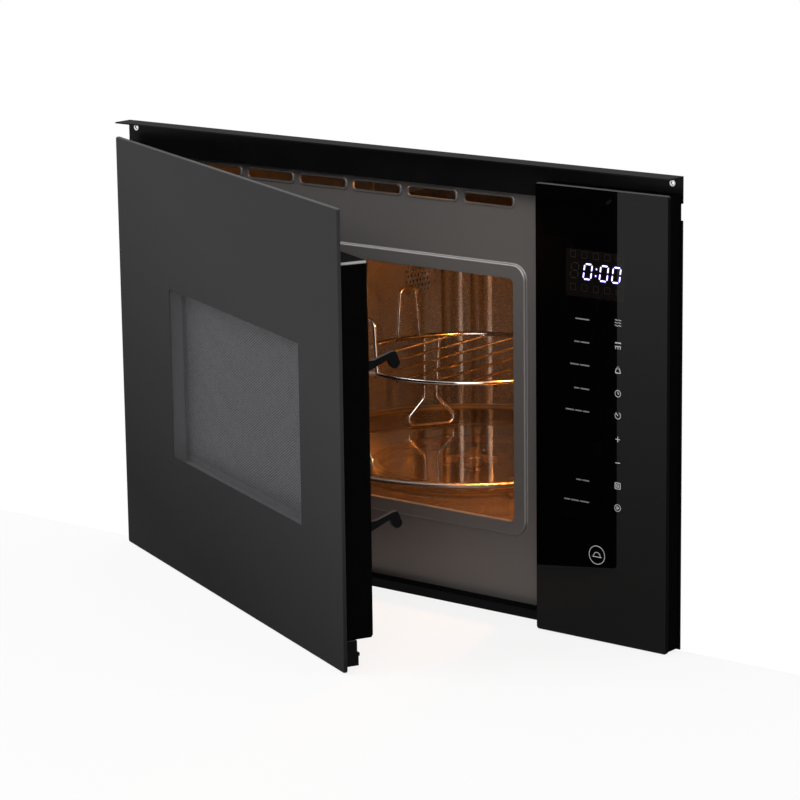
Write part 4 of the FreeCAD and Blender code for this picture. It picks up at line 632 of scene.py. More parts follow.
def door_moulding(made):
    """Black plastic of the door's body, painted grey inside the window's frame, with a painted highlight on
    a corner edge.
    """
    made.base(Roughness=0.5, Specular_IOR_Level=0.0)
    window = bpy.context.scene.microwave_window
    reach = window.margin + WINDOW_REACH
    widths = (window.left - reach, window.right + reach)
    heights = (window.low - reach, window.high + reach)
    painted = made.box_share(made.shut_place(), widths, heights)
    face = made.blend(painted, black_grain(made, 90.0), WINDOW_FRAME_GREY)
    # Painted highlight on the corner edge that turns towards CORNER_SIDE
    made.coloured(made.lit_share(CORNER_SIDE, low=0.86, high=0.97), face, PAINTED_CORNER_HIGHLIGHT)
    moulded_skin(made)


def coupler_plastic(made):
    """Heat-proof plastic in natural brown."""
    made.base(Roughness=0.25, Subsurface_Weight=0.1, Subsurface_Scale=0.002)
    made.varied((0.24, 0.18, 0.13), spread=0.08, scale=90.0)


def roller_plastic(made):
    """Dark brown heat-proof plastic of the roller ring."""
    made.base(Roughness=0.45, Specular_IOR_Level=0.3)
    made.varied((0.13, 0.085, 0.055), spread=0.12, scale=120.0)


def mica_sheet(made):
    """Pressed mica with flakes."""
    made.base(Roughness=0.45)
    flake = made.cells(260.0)
    made.coloured(flake, (0.46, 0.39, 0.29), (0.66, 0.58, 0.45))
    made.bump(flake, depth=0.05 * MM, strength=0.4)


def circuit_board(made):
    """Green lacquered board with pale tracks."""
    made.base(Roughness=0.35)
    track = made.node("ShaderNodeTexBrick", Vector=made.place(), Scale=90.0).outputs["Fac"]
    made.coloured(track, (0.012, 0.034, 0.020), (0.035, 0.060, 0.034))
    made.bump(track, depth=0.04 * MM, strength=0.5)


def display_face(made):
    """Unlit face of the numeric display."""
    made.base(Roughness=0.35)
    made.varied((0.016, 0.013, 0.012), spread=0.3, scale=400.0)


# Glass
DISPLAY_WIDTHS = (0.1986, 0.2556)
DISPLAY_HEIGHTS = (0.2881, 0.3271)
PANEL_BLACK = (0.0008, 0.0008, 0.0009)
DISPLAY_BROWN = (0.0045, 0.0035, 0.0030)
# Print on the back of the door's glass: its layer; and a painted reflection of the soft lamps on it, a
# slanted rise from dark to pale towards the top and right
PRINT_DEPTH = 0.001
REFLECTION_DARK_AT = -0.03
REFLECTION_PALE_AT = 0.285
REFLECTION_RISE = 7.5
REFLECTION_SLANT = 0.35
PRINT_CLOUD = 0.1
PANE_TINT = (0.34, 0.34, 0.35)
TABLE_MIDDLE = (TABLE_LOW + TABLE_HIGH) / 2
TABLE_RADIUS = (TABLE_HIGH.x - TABLE_LOW.x) / 2
TABLE_SHADE = (0.93, 0.88, 0.81)
RIM_WIDTH = 0.008
RIM_SHARE = 0.75
RIM_COLOUR = (0.64, 0.60, 0.54)


def control_glass_face(made):
    """Black printed glass, a shade browner over the display."""
    made.base(Roughness=0.6, Specular_IOR_Level=0.0)
    display = made.box_share(made.place(), DISPLAY_WIDTHS, DISPLAY_HEIGHTS)
    made.ground_and_top_lit_glass(made.blend(display, PANEL_BLACK, DISPLAY_BROWN))
    made.glazed(made.coat, made.settings.panel_gloss, dimmed=made.edge_share(0.0))


def door_glass_face(made):
    """Dark printed glass with a clear window, all under one glossy face, with a painted reflection that
    pales towards the top and right.
    """
    made.base(Roughness=0.6, Specular_IOR_Level=0.0)
    settings = made.settings
    window = bpy.context.scene.microwave_window
    shut = made.shut_place()
    axes = made.parts(shut)
    # Painted reflection: the print pales along a slant towards the top and right, with a faint random cloud
    reflection_run = made.reckon("ADD", made.reckon("MULTIPLY", axes["X"], REFLECTION_SLANT), axes["Z"])
    cloud = made.span(made.noise(6.0), 0.0, 1.0, 0.0, PRINT_CLOUD)
    reflection_and_cloud = made.reckon("ADD", made.span(reflection_run, REFLECTION_DARK_AT, REFLECTION_PALE_AT), cloud)
    made.ground_and_top_lit_glass(made.blend(reflection_and_cloud, settings.door_print, scaled(settings.door_print, REFLECTION_RISE)))
    # The shut door's glass is flush with the panel's
    behind = PANEL_FRONT + PRINT_DEPTH
    grow = made.span(axes["Y"], behind, behind + PRINT_DEPTH, 0.0, WINDOW_REACH)
    opening = made.box_share(shut, (window.left, window.right), (window.low, window.high), grow)
    under = made.mixed(opening, made.coat, made.clear(settings.window_tint))
    made.glazed(under, settings.door_gloss, settings.door_sheen, dimmed=made.edge_share(AJAR))


def clear_pane(made):
    """Smoky inner pane of the door."""
    made.glazed(made.clear(PANE_TINT), head_on=0.006, edge_on=0.4)


def turntable_glass(made):
    """Clear pressed glass, a little smoky, with a pale rim, which lets lamps and soft light through."""
    made.base(Base_Color=(0.80, 0.66, 0.50), Roughness=0.02, IOR=1.47, Transmission_Weight=1.0)
    lamps = made.reckon("MAXIMUM", made.ray("Shadow"), made.ray("Diffuse"))
    glass = made.mixed(lamps, made.coat, made.clear(TABLE_SHADE))
    radius = made.compare("DISTANCE", made.place((1, 1, 0)), (TABLE_MIDDLE.x, TABLE_MIDDLE.y, 0))
    rim = made.span(radius, TABLE_RADIUS - RIM_WIDTH, TABLE_RADIUS - RIM_WIDTH / 2, 0.0, RIM_SHARE)
    pale = made.node("ShaderNodeBsdfGlossy", Color=RIM_COLOUR, Roughness=0.32).outputs["BSDF"]
    made.show(made.mixed(rim, glass, pale))


def lamp_glass(made):
    """Lit filament bulb."""
    made.base(Roughness=0.2, Emission_Strength=6.0, Emission_Color=(1.0, 0.62, 0.26))
    made.varied((0.9, 0.8, 0.6), spread=0.05, scale=200.0)


# Light and ink on the control glass
def glowing(name, colour, strength):
    """Surface that gives its own light."""
    made = Finish(name, Base_Color=colour, Roughness=0.5, Emission_Color=colour, Emission_Strength=strength)
    return made.material


def printed(name, colour):
    """Screen-printed ink."""
    made = Finish(name, Roughness=0.5, Specular_IOR_Level=0.2)
    made.varied(colour, spread=0.06, scale=1500.0)
    return made.material


# Nodes by the finish that they take, one table for each operator
FRONT_NODES = {
    black_paint: ["trim_frame", "hinge_upper", "hinge_lower", "choke_panel"],
    bright_plate: ["fixing_eyelets", "hinge_screws", "cover_screws"],
    satin_front: ["front_plate"],
}
DOOR_NODES = {
    door_glass_face: ["door_glass"],
    door_moulding: ["door_frame"],
    black_satin: ["choke_cover", "door_bottom_rail", "latch_slide"],
    black_moulding: [
        "interlock_switches", "control_housing", "magnetron_thermostat", "cavity_thermostat", "hv_diode",
        "cord_gland",
    ],
    clear_pane: ["inner_window"],
    plain_steel: ["heater_clips", "lamp_holder", "capacitor_clamp", "latch_spring"],
}
SCREEN_NODES = {screen_paint: ["door_screen"]}
CAVITY_NODES = {
    cavity_lining: ["cavity_wrap", "cavity_floor", "cavity_back"],
    mica_sheet: ["waveguide_cover"],
    heater_tube: ["grill_heater"],
    lamp_glass: ["lamp_bulb"],
}
TURNTABLE_NODES = {
    turntable_glass: ["turntable_plate"],
    coupler_plastic: ["drive_coupler", "drive_shaft"],
    roller_plastic: ["roller_ring", "roller_1", "roller_2", "roller_3"],
    chrome_wire: ["grill_rack"],
}
WORKS_NODES = {
    galvanised_sheet: ["waveguide", "base_plate", "cabinet_cover", "rear_panel"],
    drawn_can: ["turntable_motor", "magnetron", "hv_capacitor"],
    core_iron: ["transformer_core", "fan_motor"],
    copper_winding: ["transformer_coils"],
    white_moulding: [
        "interlock_bracket", "fan_duct", "fan_blade",
        "switch_plunger_1", "switch_plunger_2", "switch_plunger_3",
    ],
    circuit_board: ["touch_sensor", "control_board", "line_filter"],
}
PANEL_NODES = {
    control_glass_face: ["control_glass"],
    display_face: ["display_module"],
}


def dress(finishes):
    """Makes each finish, and gives it to the nodes that take it."""
    for finish, names in finishes.items():
        made = Finish(finish.__name__)
        finish(made)
        for name in names:
            mesh = frame["nodes"][name].data
            mesh.materials.clear()
            mesh.materials.append(made.material)


def add_object(name, data):
    """New object in the scene."""
    made = bpy.data.objects.new(name, data)
    bpy.context.scene.collection.objects.link(made)
    return made


# Flat printed shapes on the control glass
def bar(start, end, half):
    """Pointed bar of a numeric display, from tip to tip."""
    along = (end - start).normalized()
    side = Vector((-along.y, along.x)) * half
    back = along * half
    return [start, start + back - side, end - back - side, end, end - back + side, start + back + side]


def stroke(points, width, closed=False):
    """Outline of a line of even width, as one four-sided shape for each run."""
    ends = points[1:] + points[:1] if closed else points[1:]
    shapes = []
    for start, end in zip(points, ends):
        along = (end - start).normalized()
        side = Vector((-along.y, along.x)) * width / 2
        reach = along * width / 4
        shapes.append([start - reach - side, end + reach - side, end + reach + side, start - reach + side])
    return shapes


def ring_points(middle, radius, count, start=0.0, turn=360.0):
    """Points on an arc, or on a whole circle."""
    steps = count if turn >= 360.0 else count - 1
    angles = [math.radians(start + turn * step / steps) for step in range(count)]
    return [middle + Vector((math.cos(angle), math.sin(angle))) * radius for angle in angles]


def flat_piece(name, shapes, proud, material):
    """Thin raised shapes on the front of the control glass, as one piece of the oven."""
    mesh = bpy.data.meshes.new(name)
    work = bmesh.new()
    for shape in shapes:
        corners = [work.verts.new((point.x, PANEL_FRONT - proud, point.y)) for point in shape]
        face = work.faces.new(corners)
        grown = bmesh.ops.extrude_face_region(work, geom=[face])
        raised = [item for item in grown["geom"] if isinstance(item, bmesh.types.BMVert)]
        bmesh.ops.translate(work, verts=raised, vec=(0, proud, 0))
    bmesh.ops.recalc_face_normals(work, faces=work.faces)
    work.to_mesh(mesh)
    work.free()
    mesh.materials.append(material)
    piece = add_object(name, mesh)
    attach(piece, "oven")
    return piece


# Numeric display
DIGIT_BARS = "abcdefg"
ZERO_BARS = "abcdef"
DIGIT_STARTS = (0.2149, 0.2307, 0.2428)
GHOST_START = 0.2020
# Gap at a bar's tips, in half widths of the bar
BAR_GAP = 1.7
COLON_X = 0.2272
COLON_SHARES = (0.30, 0.72)
DOT_SIZE = 1.2
DOT_SIDES = 8
LIT_PROUD = 0.00006
GLOW_PROUD = 0.00003
GHOST_PROUD = 0.00002
GLOW_SPREAD = 0.0004
LIT_COLOUR = (0.93, 0.90, 1.0)
LIT_STRENGTH = 1.6
GLOW_STRENGTH = 0.30
UNLIT_COLOUR = (0.0065, 0.0048, 0.0042)
GHOST_ROWS = (0.3228, 0.2958)
GHOST_PLACES = 5
GHOST_FIRST = 0.2055
GHOST_STEP = 0.0112
GHOST_HALF = 0.0026
SQUARE = [Vector(corner) for corner in ((-1, -1), (1, -1), (1, 1), (-1, 1))]


def digit_shapes(start, bars, controls, extra=0.0):
    """Bars of one seven-bar digit that leans to the right."""
    half = controls.segment / 2
    left, right = half, controls.digit_width - half
    top, middle, foot = controls.digit_height - half, controls.digit_height / 2, half
    ends = {
        "a": ((left, top), (right, top)),
        "b": ((right, middle), (right, top)),
        "c": ((right, foot), (right, middle)),
        "d": ((left, foot), (right, foot)),
        "e": ((left, foot), (left, middle)),
        "f": ((left, middle), (left, top)),
        "g": ((left, middle), (right, middle)),
    }
    lean = math.tan(controls.slant)
    shapes = []
    for name in bars:
        first, last = (Vector(end) for end in ends[name])
        tip = (last - first).normalized() * (half * BAR_GAP - extra)
        outline = bar(first + tip, last - tip, half + extra)
        shapes.append([
            Vector((start + point.x + point.y * lean, controls.digit_low + point.y)) for point in outline
        ])
    return shapes


def colon_shapes(controls, extra=0.0):
    """Two dots between hours and minutes."""
    half = controls.segment / 2 + extra
    lean = math.tan(controls.slant)
    shapes = []
    for share in COLON_SHARES:
        rise = controls.digit_height * share
        middle = Vector((COLON_X + rise * lean, controls.digit_low + rise))
        shapes.append(ring_points(middle, half * DOT_SIZE, DOT_SIDES))
    return shapes


def ghost_squares(width):
    """Unlit square places for signs, in a row above the digits and a row below."""
    shapes = []
    for row in GHOST_ROWS:
        for place in range(GHOST_PLACES):
            middle = Vector((GHOST_FIRST + place * GHOST_STEP, row))
            shapes += stroke([middle + corner * GHOST_HALF for corner in SQUARE], width, True)
    return shapes


# Signs on the control glass, each drawn on a square from -1 to 1 as lines that are closed or open
MIDDLE = Vector((0, 0))


def line(*points, closed=False):
    """One line of a sign."""
    return [Vector(point) for point in points], closed


def ring(middle, radius, count):
    """Circle of a sign."""
    return ring_points(middle, radius, count), True


def wave(row):
    """One level wave of a sign, in twelve steps."""
    return line(*((-1 + step / 6, row + 0.13 * math.sin(step / 3 * math.pi)) for step in range(13)))


def wave_sign():
    """Three waves, one above the other."""
    return [wave(row) for row in (-0.8, 0.0, 0.8)]


def grill_sign():
    """Heat lines over a wire grid."""
    zigzag = line(*((-1 + step / 3, 1.0 if step % 2 else 0.6) for step in range(7)))
    bars = [line((x, -0.2), (x, -1.0)) for x in (-0.8, 0.0, 0.8)]
    return [zigzag, line((-1, -0.2), (1, -0.2))] + bars


def weight_sign():
    """Kitchen weight with its ring."""
    body = line((-0.9, -0.9), (0.9, -0.9), (0.6, 0.3), (-0.6, 0.3), closed=True)
    return [body, ring(Vector((0, 0.62)), 0.32, 14)]


def clock_sign():
    """Clock face with two hands."""
    return [ring(MIDDLE, 0.95, 24), line((0, 0.55), (0, 0), (0.42, -0.1))]


def timer_sign():
    """Open dial with a pointer."""
    dial = ring_points(MIDDLE, 0.95, 22, start=120.0, turn=300.0)
    return [(dial, False), line((0, 0), (-0.45, 0.5))]


def minus_sign():
    """Level bar."""
    return [line((-0.75, 0), (0.75, 0))]


def plus_sign():
    """Upright cross."""
    return minus_sign() + [line((0, -0.75), (0, 0.75))]


def stop_sign():
    """Square in a square."""
    return [([corner * half for corner in SQUARE], True) for half in (0.88, 0.34)]


def start_sign():
    """Triangle in a circle."""
    return [ring(MIDDLE, 1.0, 24), line((-0.28, -0.42), (0.46, 0), (-0.28, 0.42), closed=True)]


def dish_sign():
    """Covered dish inside a ring."""
    cover = ring_points(Vector((0, -0.12)), 0.42, 12, turn=180.0)
    return [ring(MIDDLE, 1.0, 40), (cover, False), line((-0.56, -0.2), (0.56, -0.2))]


# Name, height of the middle and drawing of each sign in the column
SIGNS = (
    ("waves", 0.2708, wave_sign),
    ("grill", 0.2521, grill_sign),
    ("weight", 0.2322, weight_sign),
    ("clock", 0.2127, clock_sign),
    ("timer", 0.1944, timer_sign),
    ("plus", 0.1747, plus_sign),
    ("minus", 0.1551, minus_sign),
    ("stop", 0.1359, stop_sign),
    ("start", 0.1174, start_sign),
)
MARK_PROUD = 0.00005
DISH_MIDDLE = Vector((0.2292, 0.0745))
DISH_RADIUS = 0.0077
LABEL_END = 0.2212
LABEL_HEIGHT = 0.0011
LABEL_GAP = 0.0018
LABEL_SHADE = 0.25
# Row height and the lengths of the bars that stand in a label's place, from left to right
LABELS = (
    (0.2700, (0.0130,)),
    (0.2510, (0.0045, 0.0078)),
    (0.2320, (0.0078, 0.0085)),
    (0.2124, (0.0045, 0.0080)),
    (0.1937, (0.0078, 0.0060, 0.0055)),
    (0.1358, (0.0045, 0.0060)),
    (0.1178, (0.0055, 0.0070, 0.0085)),
)


def sign_shapes(lines, middle, size, width):
    """Strokes of a sign, scaled and moved to its place."""
    shapes = []
    for points, closed in lines:
        shapes += stroke([middle + point * size / 2 for point in points], width, closed)
    return shapes


def label_shapes():
    """Bars that stand in the labels' places, row by row."""
    bars = []
    for height, lengths in LABELS:
        end = LABEL_END
        for length in reversed(lengths):
            bars += stroke([Vector((end - length, height)), Vector((end, height))], LABEL_HEIGHT)
            end -= length + LABEL_GAP
    return bars


# Door screen
EDGE_BEHIND = 0.0001
EDGE_PITCHES = 2
HEXAGON = [math.radians(60 * step) for step in range(6)]


def door_turn(angle):
    """Turn about the door's hinge."""
    return Matrix.Translation(HINGE) @ Matrix.Rotation(angle, 4, "Z") @ Matrix.Translation(-HINGE)


def shut_depth(mesh):
    """Middle depth of a flat sheet in the door, with the door turned shut."""
    turn = door_turn(AJAR)
    depths = [(turn @ vertex.co).y for vertex in mesh.vertices]
    return (min(depths) + max(depths)) / 2


def ring_faces(outer, inner):
    """Four-sided faces between two closed loops of vertices."""
    after = [*range(1, len(outer)), 0]
    return [[outer[n], outer[m], inner[m], inner[n]] for n, m in enumerate(after)]


def perforated_mesh(window, depth):
    """Sheet with six-sided holes in staggered upright rows, and a plain edge just behind the outer rows."""
    pitch = window.pitch
    column_step = pitch * math.sqrt(3) / 2
    left, right = window.left - window.margin, window.right + window.margin
    low, high = window.low - window.margin, window.high + window.margin
    verts, faces, shared = [], [], {}

    def hexagon(x, z, radius):
        """Vertices of six corners, shared with the neighbours' corners."""
        numbers = []
        for angle in HEXAGON:
            across, up = x + radius * math.cos(angle), z + radius * math.sin(angle)
            key = (round(across / MM, 3), round(up / MM, 3))
            if key not in shared:
                shared[key] = len(verts)
                verts.append((across, depth, up))
            numbers.append(shared[key])
        return numbers

    for column in range(1, int((right - left) / column_step)):
        x = left + column * column_step
        for row in range(1, int((high - low) / pitch)):
            z = low + (row + 0.5 * (column % 2)) * pitch
            outer = hexagon(x, z, pitch / math.sqrt(3))
            if window.low < z < window.high:
                faces += ring_faces(outer, hexagon(x, z, window.hole / 2))
            else:
                faces.append(outer)
    first = len(verts)
    for inset in (0.0, EDGE_PITCHES * pitch):
        x0, x1, z0, z1 = left + inset, right - inset, low + inset, high - inset
        verts += [(x, depth + EDGE_BEHIND, z) for x, z in ((x0, z0), (x1, z0), (x1, z1), (x0, z1))]
    faces += ring_faces(range(first, first + 4), range(first + 4, first + 8))
    mesh = bpy.data.meshes.new("door_screen_holes")
    mesh.from_pydata(verts, [], faces)
    mesh.transform(door_turn(-AJAR))
    mesh.update()
    return mesh


# Stage
FLOOR_SIZE = 12.0
# Share of the floor's own shaded colour that shows, which keeps the oven's shadow
FLOOR_SHADE = 0.15
# Mirror images of the floor: painted shade, darker near the oven and white further forward, for the oven's
# shadow on it
FLOOR_NEAR = -0.45
FLOOR_FAR = -1.7
FLOOR_NEAR_SHADE = 0.4
# Furniture round the oven: its reach, its gap to the cabinet and its inset from the cabinet's edges
NICHE_REACH = 4.0
NICHE_GAP = 0.002
NICHE_INSET = 0.012
TRIM_SHEET = 0.0014
KEY_PLACE = (-1.9, -2.2, 2.4)
KEY_SIZE = 1.8
FILL_PLACE = (1.5, -2.6, 1.5)
FILL_SIZE = 1.4
OVEN_LAMP_INSET = 0.03
OVEN_LAMP_RADIUS = 0.012
VENT_LAMP_BEHIND = 0.06
VENT_LAMP_RADIUS = 0.02
SENSOR_WIDTH = 36.0
CLIP_NEAR = 0.05
CLIP_FAR = 60.0


def stage_lamp(name, kind, place, power, **settings):
    """New light at a place."""
    light = bpy.data.lights.new(name, kind)
    light.energy = power
    for setting, value in settings.items():
        setattr(light, setting, value)
    lamp = add_object(name, light)
    lamp.location = place
    return lamp


def soft_lamp(name, place, target, size, power):
    """Square soft light that points at a target."""
    lamp = stage_lamp(name, "AREA", place, power, shape="SQUARE", size=size)
    lamp.rotation_euler = (Vector(target) - Vector(place)).to_track_quat("-Z", "Y").to_euler()


def warm_lamp(name, place, radius, power, colour):
    """Small warm light inside the oven."""
    stage_lamp(name, "POINT", place, power, shadow_soft_size=radius, color=colour)


def floor_finish():
    """White floor that keeps a soft shadow, and shows painted shade near the oven in mirror images."""
    made = Finish("floor_finish", Roughness=0.9, Specular_IOR_Level=0.0)
    made.varied((0.98, 0.98, 0.98), spread=0.01, scale=2.0)
    mirrored_shade = made.span(made.parts(made.place())["Y"], FLOOR_NEAR, FLOOR_FAR, FLOOR_NEAR_SHADE, 1.0)
    level = made.node("ShaderNodeMix", Factor=made.ray("Glossy"), A=1.0, B=mirrored_shade).outputs["Result"]
    share = made.span(made.seen_share(), 0.0, 1.0, 0.0, 1.0 - FLOOR_SHADE)
    made.show(made.mixed(share, made.coat, made.white_light(level)))
    return made.material


def one_sided(name, level):
    """Plain white or black that shows from its front to the camera, and is open air to all other rays."""
    made = Finish(name)
    share = made.reckon("MULTIPLY", made.ray("Camera"), made.outside())
    made.show(made.mixed(share, made.clear(), made.white_light(level)))
    return made.material


def stage_sheet(name, corners, material):
    """Flat stage piece from four-sided faces."""
    mesh = bpy.data.meshes.new(name)
    verts = [corner for face in corners for corner in face]
    mesh.from_pydata(verts, [], [range(4 * n, 4 * n + 4) for n in range(len(corners))])
    mesh.materials.append(material)
    piece = add_object(name, mesh)
    return piece


def stage_floor():
    """Square floor under the oven."""
    half = FLOOR_SIZE / 2
    floor = [(-half, -half, 0.0), (half, -half, 0.0), (half, half, 0.0), (-half, half, 0.0)]
    stage_sheet("floor", [floor], floor_finish())


def niche_front():
    """Furniture face just behind the trim, with a hole for the cabinet."""
    y = TRIM_FACE + TRIM_SHEET
    left, right = BODY_LOW.x - NICHE_GAP, BODY_HIGH.x + NICHE_GAP
    top = BODY_HIGH.z + NICHE_GAP
    spans = (
        (-NICHE_REACH, left, 0.0, NICHE_REACH),
        (right, NICHE_REACH, 0.0, NICHE_REACH),
        (left, right, top, NICHE_REACH),
    )
    faces = [[(x0, y, z0), (x1, y, z0), (x1, y, z1), (x0, y, z1)] for x0, x1, z0, z1 in spans]
    stage_sheet("niche_front", faces, one_sided("niche_white", 1.0))


def niche_inside():
    """Black sheets close to the cabinet's sides and back, which show only through the cabinet's slots:
    painted shade for a closed niche.
    """
    left, right = BODY_LOW.x - NICHE_GAP, BODY_HIGH.x + NICHE_GAP
    x0, x1 = BODY_LOW.x + NICHE_INSET, BODY_HIGH.x - NICHE_INSET
    front, back = BODY_LOW.y + NICHE_INSET, BODY_HIGH.y - NICHE_INSET
    rear = BODY_HIGH.y + NICHE_GAP
    z0, z1 = BODY_LOW.z + NICHE_INSET, BODY_HIGH.z - NICHE_INSET
    walls = (((left, front), (left, back)), ((right, back), (right, front)), ((x0, rear), (x1, rear)))
    faces = [[(*a, z0), (*b, z0), (*b, z1), (*a, z1)] for a, b in walls]
    stage_sheet("niche_inside", faces, one_sided("niche_painted_shade", 0.0))


def studio_world(ambient):
    """Even soft light, and plain white where the backdrop shows."""
    world = bpy.data.worlds.new("studio")
    world.use_nodes = True
    world.node_tree.nodes.clear()
    made = Nodes(world.node_tree)
    soft, white = (
        made.node("ShaderNodeBackground", Color=WHITE, Strength=level).outputs["Background"]
        for level in (ambient, 1.0)
    )
    output = made.node("ShaderNodeOutputWorld")
    made.put(made.mixed(made.seen_share(), soft, white), output.inputs["Surface"])
    bpy.context.scene.world = world


def stage_lamps(studio):
    """Two soft lamps in front of the oven, its own lamp and the light behind its vents."""
    middle = (CAD_BOX[0] + CAD_BOX[1]) / 2
    soft_lamp("key_lamp", KEY_PLACE, middle, KEY_SIZE, studio.key)
    soft_lamp("fill_lamp", FILL_PLACE, middle, FILL_SIZE, studio.fill)
    bulb = (LAMP_LOW + LAMP_HIGH) / 2
    inside = Vector((CAVITY_HIGH.x - OVEN_LAMP_INSET, bulb.y, bulb.z))
    warm_lamp("oven_lamp", inside, OVEN_LAMP_RADIUS, studio.oven_lamp, studio.lamp_colour)
    above = Vector((0.0, CAVITY_LOW.y + VENT_LAMP_BEHIND, (CAVITY_HIGH.z + BODY_HIGH.z) / 2))
    warm_lamp("vent_lamp", above, VENT_LAMP_RADIUS, studio.vent_glow, studio.vent_colour)


def aim_camera(studio):
    """Camera at the viewing angle, from its turns about three axes."""
    yaw, pitch, roll = studio.camera_yaw, studio.camera_pitch, studio.camera_roll
    ahead = Vector((-math.sin(yaw) * math.cos(pitch), math.cos(yaw) * math.cos(pitch), -math.sin(pitch)))
    right = Vector((math.cos(yaw), math.sin(yaw), 0))
    up = right.cross(ahead)
    rolled_right = right * math.cos(roll) + up * math.sin(roll)
    rolled_up = up * math.cos(roll) - right * math.sin(roll)
    data = bpy.data.cameras.new("camera")
    data.sensor_width = SENSOR_WIDTH
    data.lens = SENSOR_WIDTH * studio.focal_pixels / studio.picture_side
    data.clip_start = CLIP_NEAR
    data.clip_end = CLIP_FAR
    camera = add_object("camera", data)
    turn = Matrix((rolled_right, rolled_up, -ahead)).transposed().to_4x4()
    camera.matrix_world = Matrix.Translation(Vector(studio.camera_place)) @ turn
    bpy.context.scene.camera = camera


# Operators
class MICROWAVE_OT_finish_front(Operator):
    """Finish the trim, the hinges, the choke panel, the bright fixings and the cavity's front plate"""

    bl_idname = "microwave.finish_front"
    bl_label = "Finish front"

    def execute(self, context):
        dress(FRONT_NODES)
        return {"FINISHED"}


class MICROWAVE_OT_finish_door(Operator):
    """Finish the door's glass, pane and mouldings, with the other black mouldings and small steel pieces"""

    bl_idname = "microwave.finish_door"
    bl_label = "Finish door"

    def execute(self, context):
        dress(DOOR_NODES)
        return {"FINISHED"}


class MICROWAVE_OT_perforate_screen(Operator):
    """Make the door's perforated screen in place of its plain sheet"""

    bl_idname = "microwave.perforate_screen"
    bl_label = "Perforate screen"

    def execute(self, context):
        dress(SCREEN_NODES)
        sheet = frame["nodes"]["door_screen"].data
        mesh = perforated_mesh(context.scene.microwave_window, shut_depth(sheet))
        mesh.materials.append(sheet.materials[0])
        piece = add_object("door_screen_holes", mesh)
        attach(piece, "door")
        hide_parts("door_screen")
        return {"FINISHED"}


class MICROWAVE_OT_finish_cavity(Operator):
    """Finish the cavity's walls, feed cover, heater and lamp"""

    bl_idname = "microwave.finish_cavity"
    bl_label = "Finish cavity"

    def execute(self, context):
        dress(CAVITY_NODES)
        return {"FINISHED"}


class MICROWAVE_OT_finish_turntable(Operator):
    """Finish the turntable, its drive and rollers and the wire rack"""

    bl_idname = "microwave.finish_turntable"
    bl_label = "Finish turntable"

    def execute(self, context):
        dress(TURNTABLE_NODES)
        return {"FINISHED"}


class MICROWAVE_OT_finish_works(Operator):
    """Finish the cabinet and what it holds"""

    bl_idname = "microwave.finish_works"
    bl_label = "Finish cabinet"

    def execute(self, context):
        dress(WORKS_NODES)
        return {"FINISHED"}


class MICROWAVE_OT_light_display(Operator):
    """Finish the control glass and draw the lit time on it"""

    bl_idname = "microwave.light_display"
    bl_label = "Light display"

    def execute(self, context):
        dress(PANEL_NODES)
        controls = context.scene.microwave_controls
        lit, glow = [], []
        for shapes, extra in ((lit, 0.0), (glow, GLOW_SPREAD)):
            for start in DIGIT_STARTS:
                shapes += digit_shapes(start, ZERO_BARS, controls, extra)
            shapes += colon_shapes(controls, extra)
        ghost = digit_shapes(GHOST_START, DIGIT_BARS, controls) + ghost_squares(controls.line)
        lit_bars = glowing("lit_bars", LIT_COLOUR, LIT_STRENGTH)
        glow_round_bars = glowing("glow_round_bars", controls.glow, GLOW_STRENGTH)
        unlit_bars = printed("unlit_bars", UNLIT_COLOUR)
        flat_piece("display_digits", lit, LIT_PROUD, lit_bars)
        flat_piece("display_glow", glow, GLOW_PROUD, glow_round_bars)
        flat_piece("display_ghost", ghost, GHOST_PROUD, unlit_bars)
        return {"FINISHED"}


class MICROWAVE_OT_print_controls(Operator):
    """Print the touch signs and the plain label bars on the control glass"""

    bl_idname = "microwave.print_controls"
    bl_label = "Print controls"

    def execute(self, context):
        controls = context.scene.microwave_controls
        ink = printed("sign_ink", controls.mark)
        for name, height, draw in SIGNS:
            middle = Vector((controls.sign_x, height))
            shapes = sign_shapes(draw(), middle, controls.sign_size, controls.line)
            flat_piece("sign_" + name, shapes, MARK_PROUD, ink)
        shapes = sign_shapes(dish_sign(), DISH_MIDDLE, 2 * DISH_RADIUS, controls.line)
        flat_piece("sign_dish", shapes, MARK_PROUD, ink)
        label_ink = printed("label_ink", scaled(controls.mark, LABEL_SHADE))
        flat_piece("label_bars", label_shapes(), MARK_PROUD, label_ink)
        return {"FINISHED"}


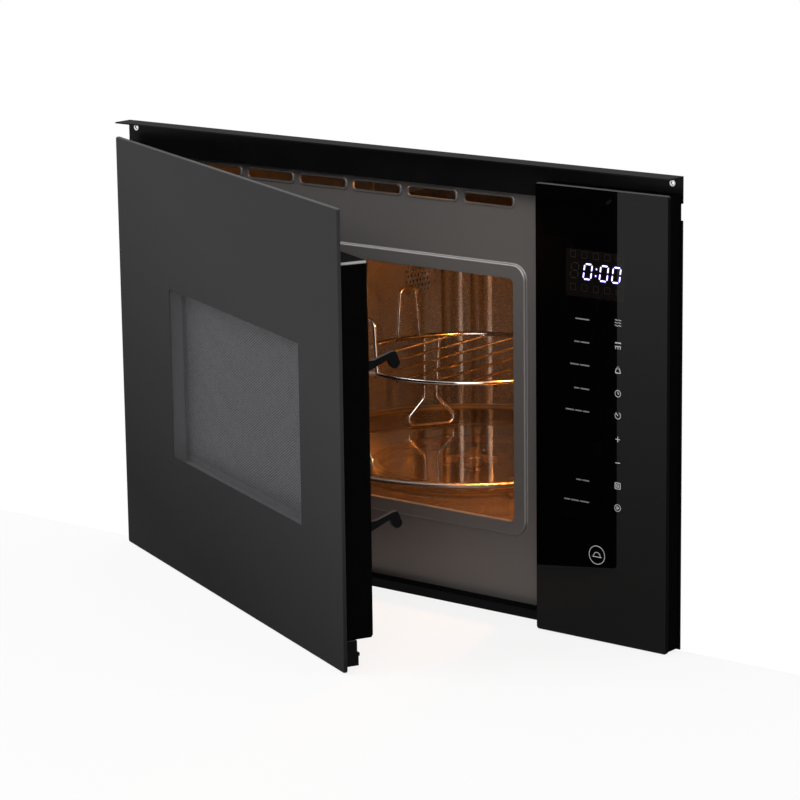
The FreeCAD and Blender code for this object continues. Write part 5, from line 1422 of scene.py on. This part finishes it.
class MICROWAVE_OT_build_stage(Operator):
    """Make the floor, the furniture round the oven, the lamps and the camera"""

    bl_idname = "microwave.build_stage"
    bl_label = "Build stage"

    def execute(self, context):
        studio = context.scene.microwave_studio
        context.scene.view_settings.view_transform = "Standard"
        studio_world(studio.ambient)
        stage_floor()
        niche_front()
        niche_inside()
        stage_lamps(studio)
        aim_camera(studio)
        return {"FINISHED"}


class MICROWAVE_PT_looks(Panel):
    """List of the oven's looks and their settings"""

    bl_idname = "MICROWAVE_PT_looks"
    bl_label = "Microwave"
    bl_space_type = "VIEW_3D"
    bl_region_type = "UI"
    bl_category = "Microwave"

    def draw(self, context):
        for group in SETTINGS:
            settings = getattr(context.scene, group)
            column = self.layout.column(align=True)
            for name in settings.bl_rna.properties.keys():
                if name not in ("rna_type", "name"):
                    column.prop(settings, name)
        for step in STEPS:
            self.layout.operator(step.bl_idname)


SETTINGS = {
    "microwave_finish": MicrowaveFinish,
    "microwave_window": MicrowaveWindow,
    "microwave_controls": MicrowaveControls,
    "microwave_studio": MicrowaveStudio,
}
STEPS = (
    MICROWAVE_OT_finish_front,
    MICROWAVE_OT_finish_door,
    MICROWAVE_OT_perforate_screen,
    MICROWAVE_OT_finish_cavity,
    MICROWAVE_OT_finish_turntable,
    MICROWAVE_OT_finish_works,
    MICROWAVE_OT_light_display,
    MICROWAVE_OT_print_controls,
    MICROWAVE_OT_build_stage,
)


def register():
    for group in SETTINGS.values():
        bpy.utils.register_class(group)
    for name, group in SETTINGS.items():
        setattr(bpy.types.Scene, name, PointerProperty(type=group))
    for step in STEPS:
        bpy.utils.register_class(step)
    bpy.utils.register_class(MICROWAVE_PT_looks)


def unregister():
    bpy.utils.unregister_class(MICROWAVE_PT_looks)
    for step in reversed(STEPS):
        bpy.utils.unregister_class(step)
    for name, group in SETTINGS.items():
        delattr(bpy.types.Scene, name)
        bpy.utils.unregister_class(group)


def main():
    register()
    for step in STEPS:
        group, name = step.bl_idname.split(".")
        getattr(getattr(bpy.ops, group), name)()


if __name__ == "__main__":
    main()
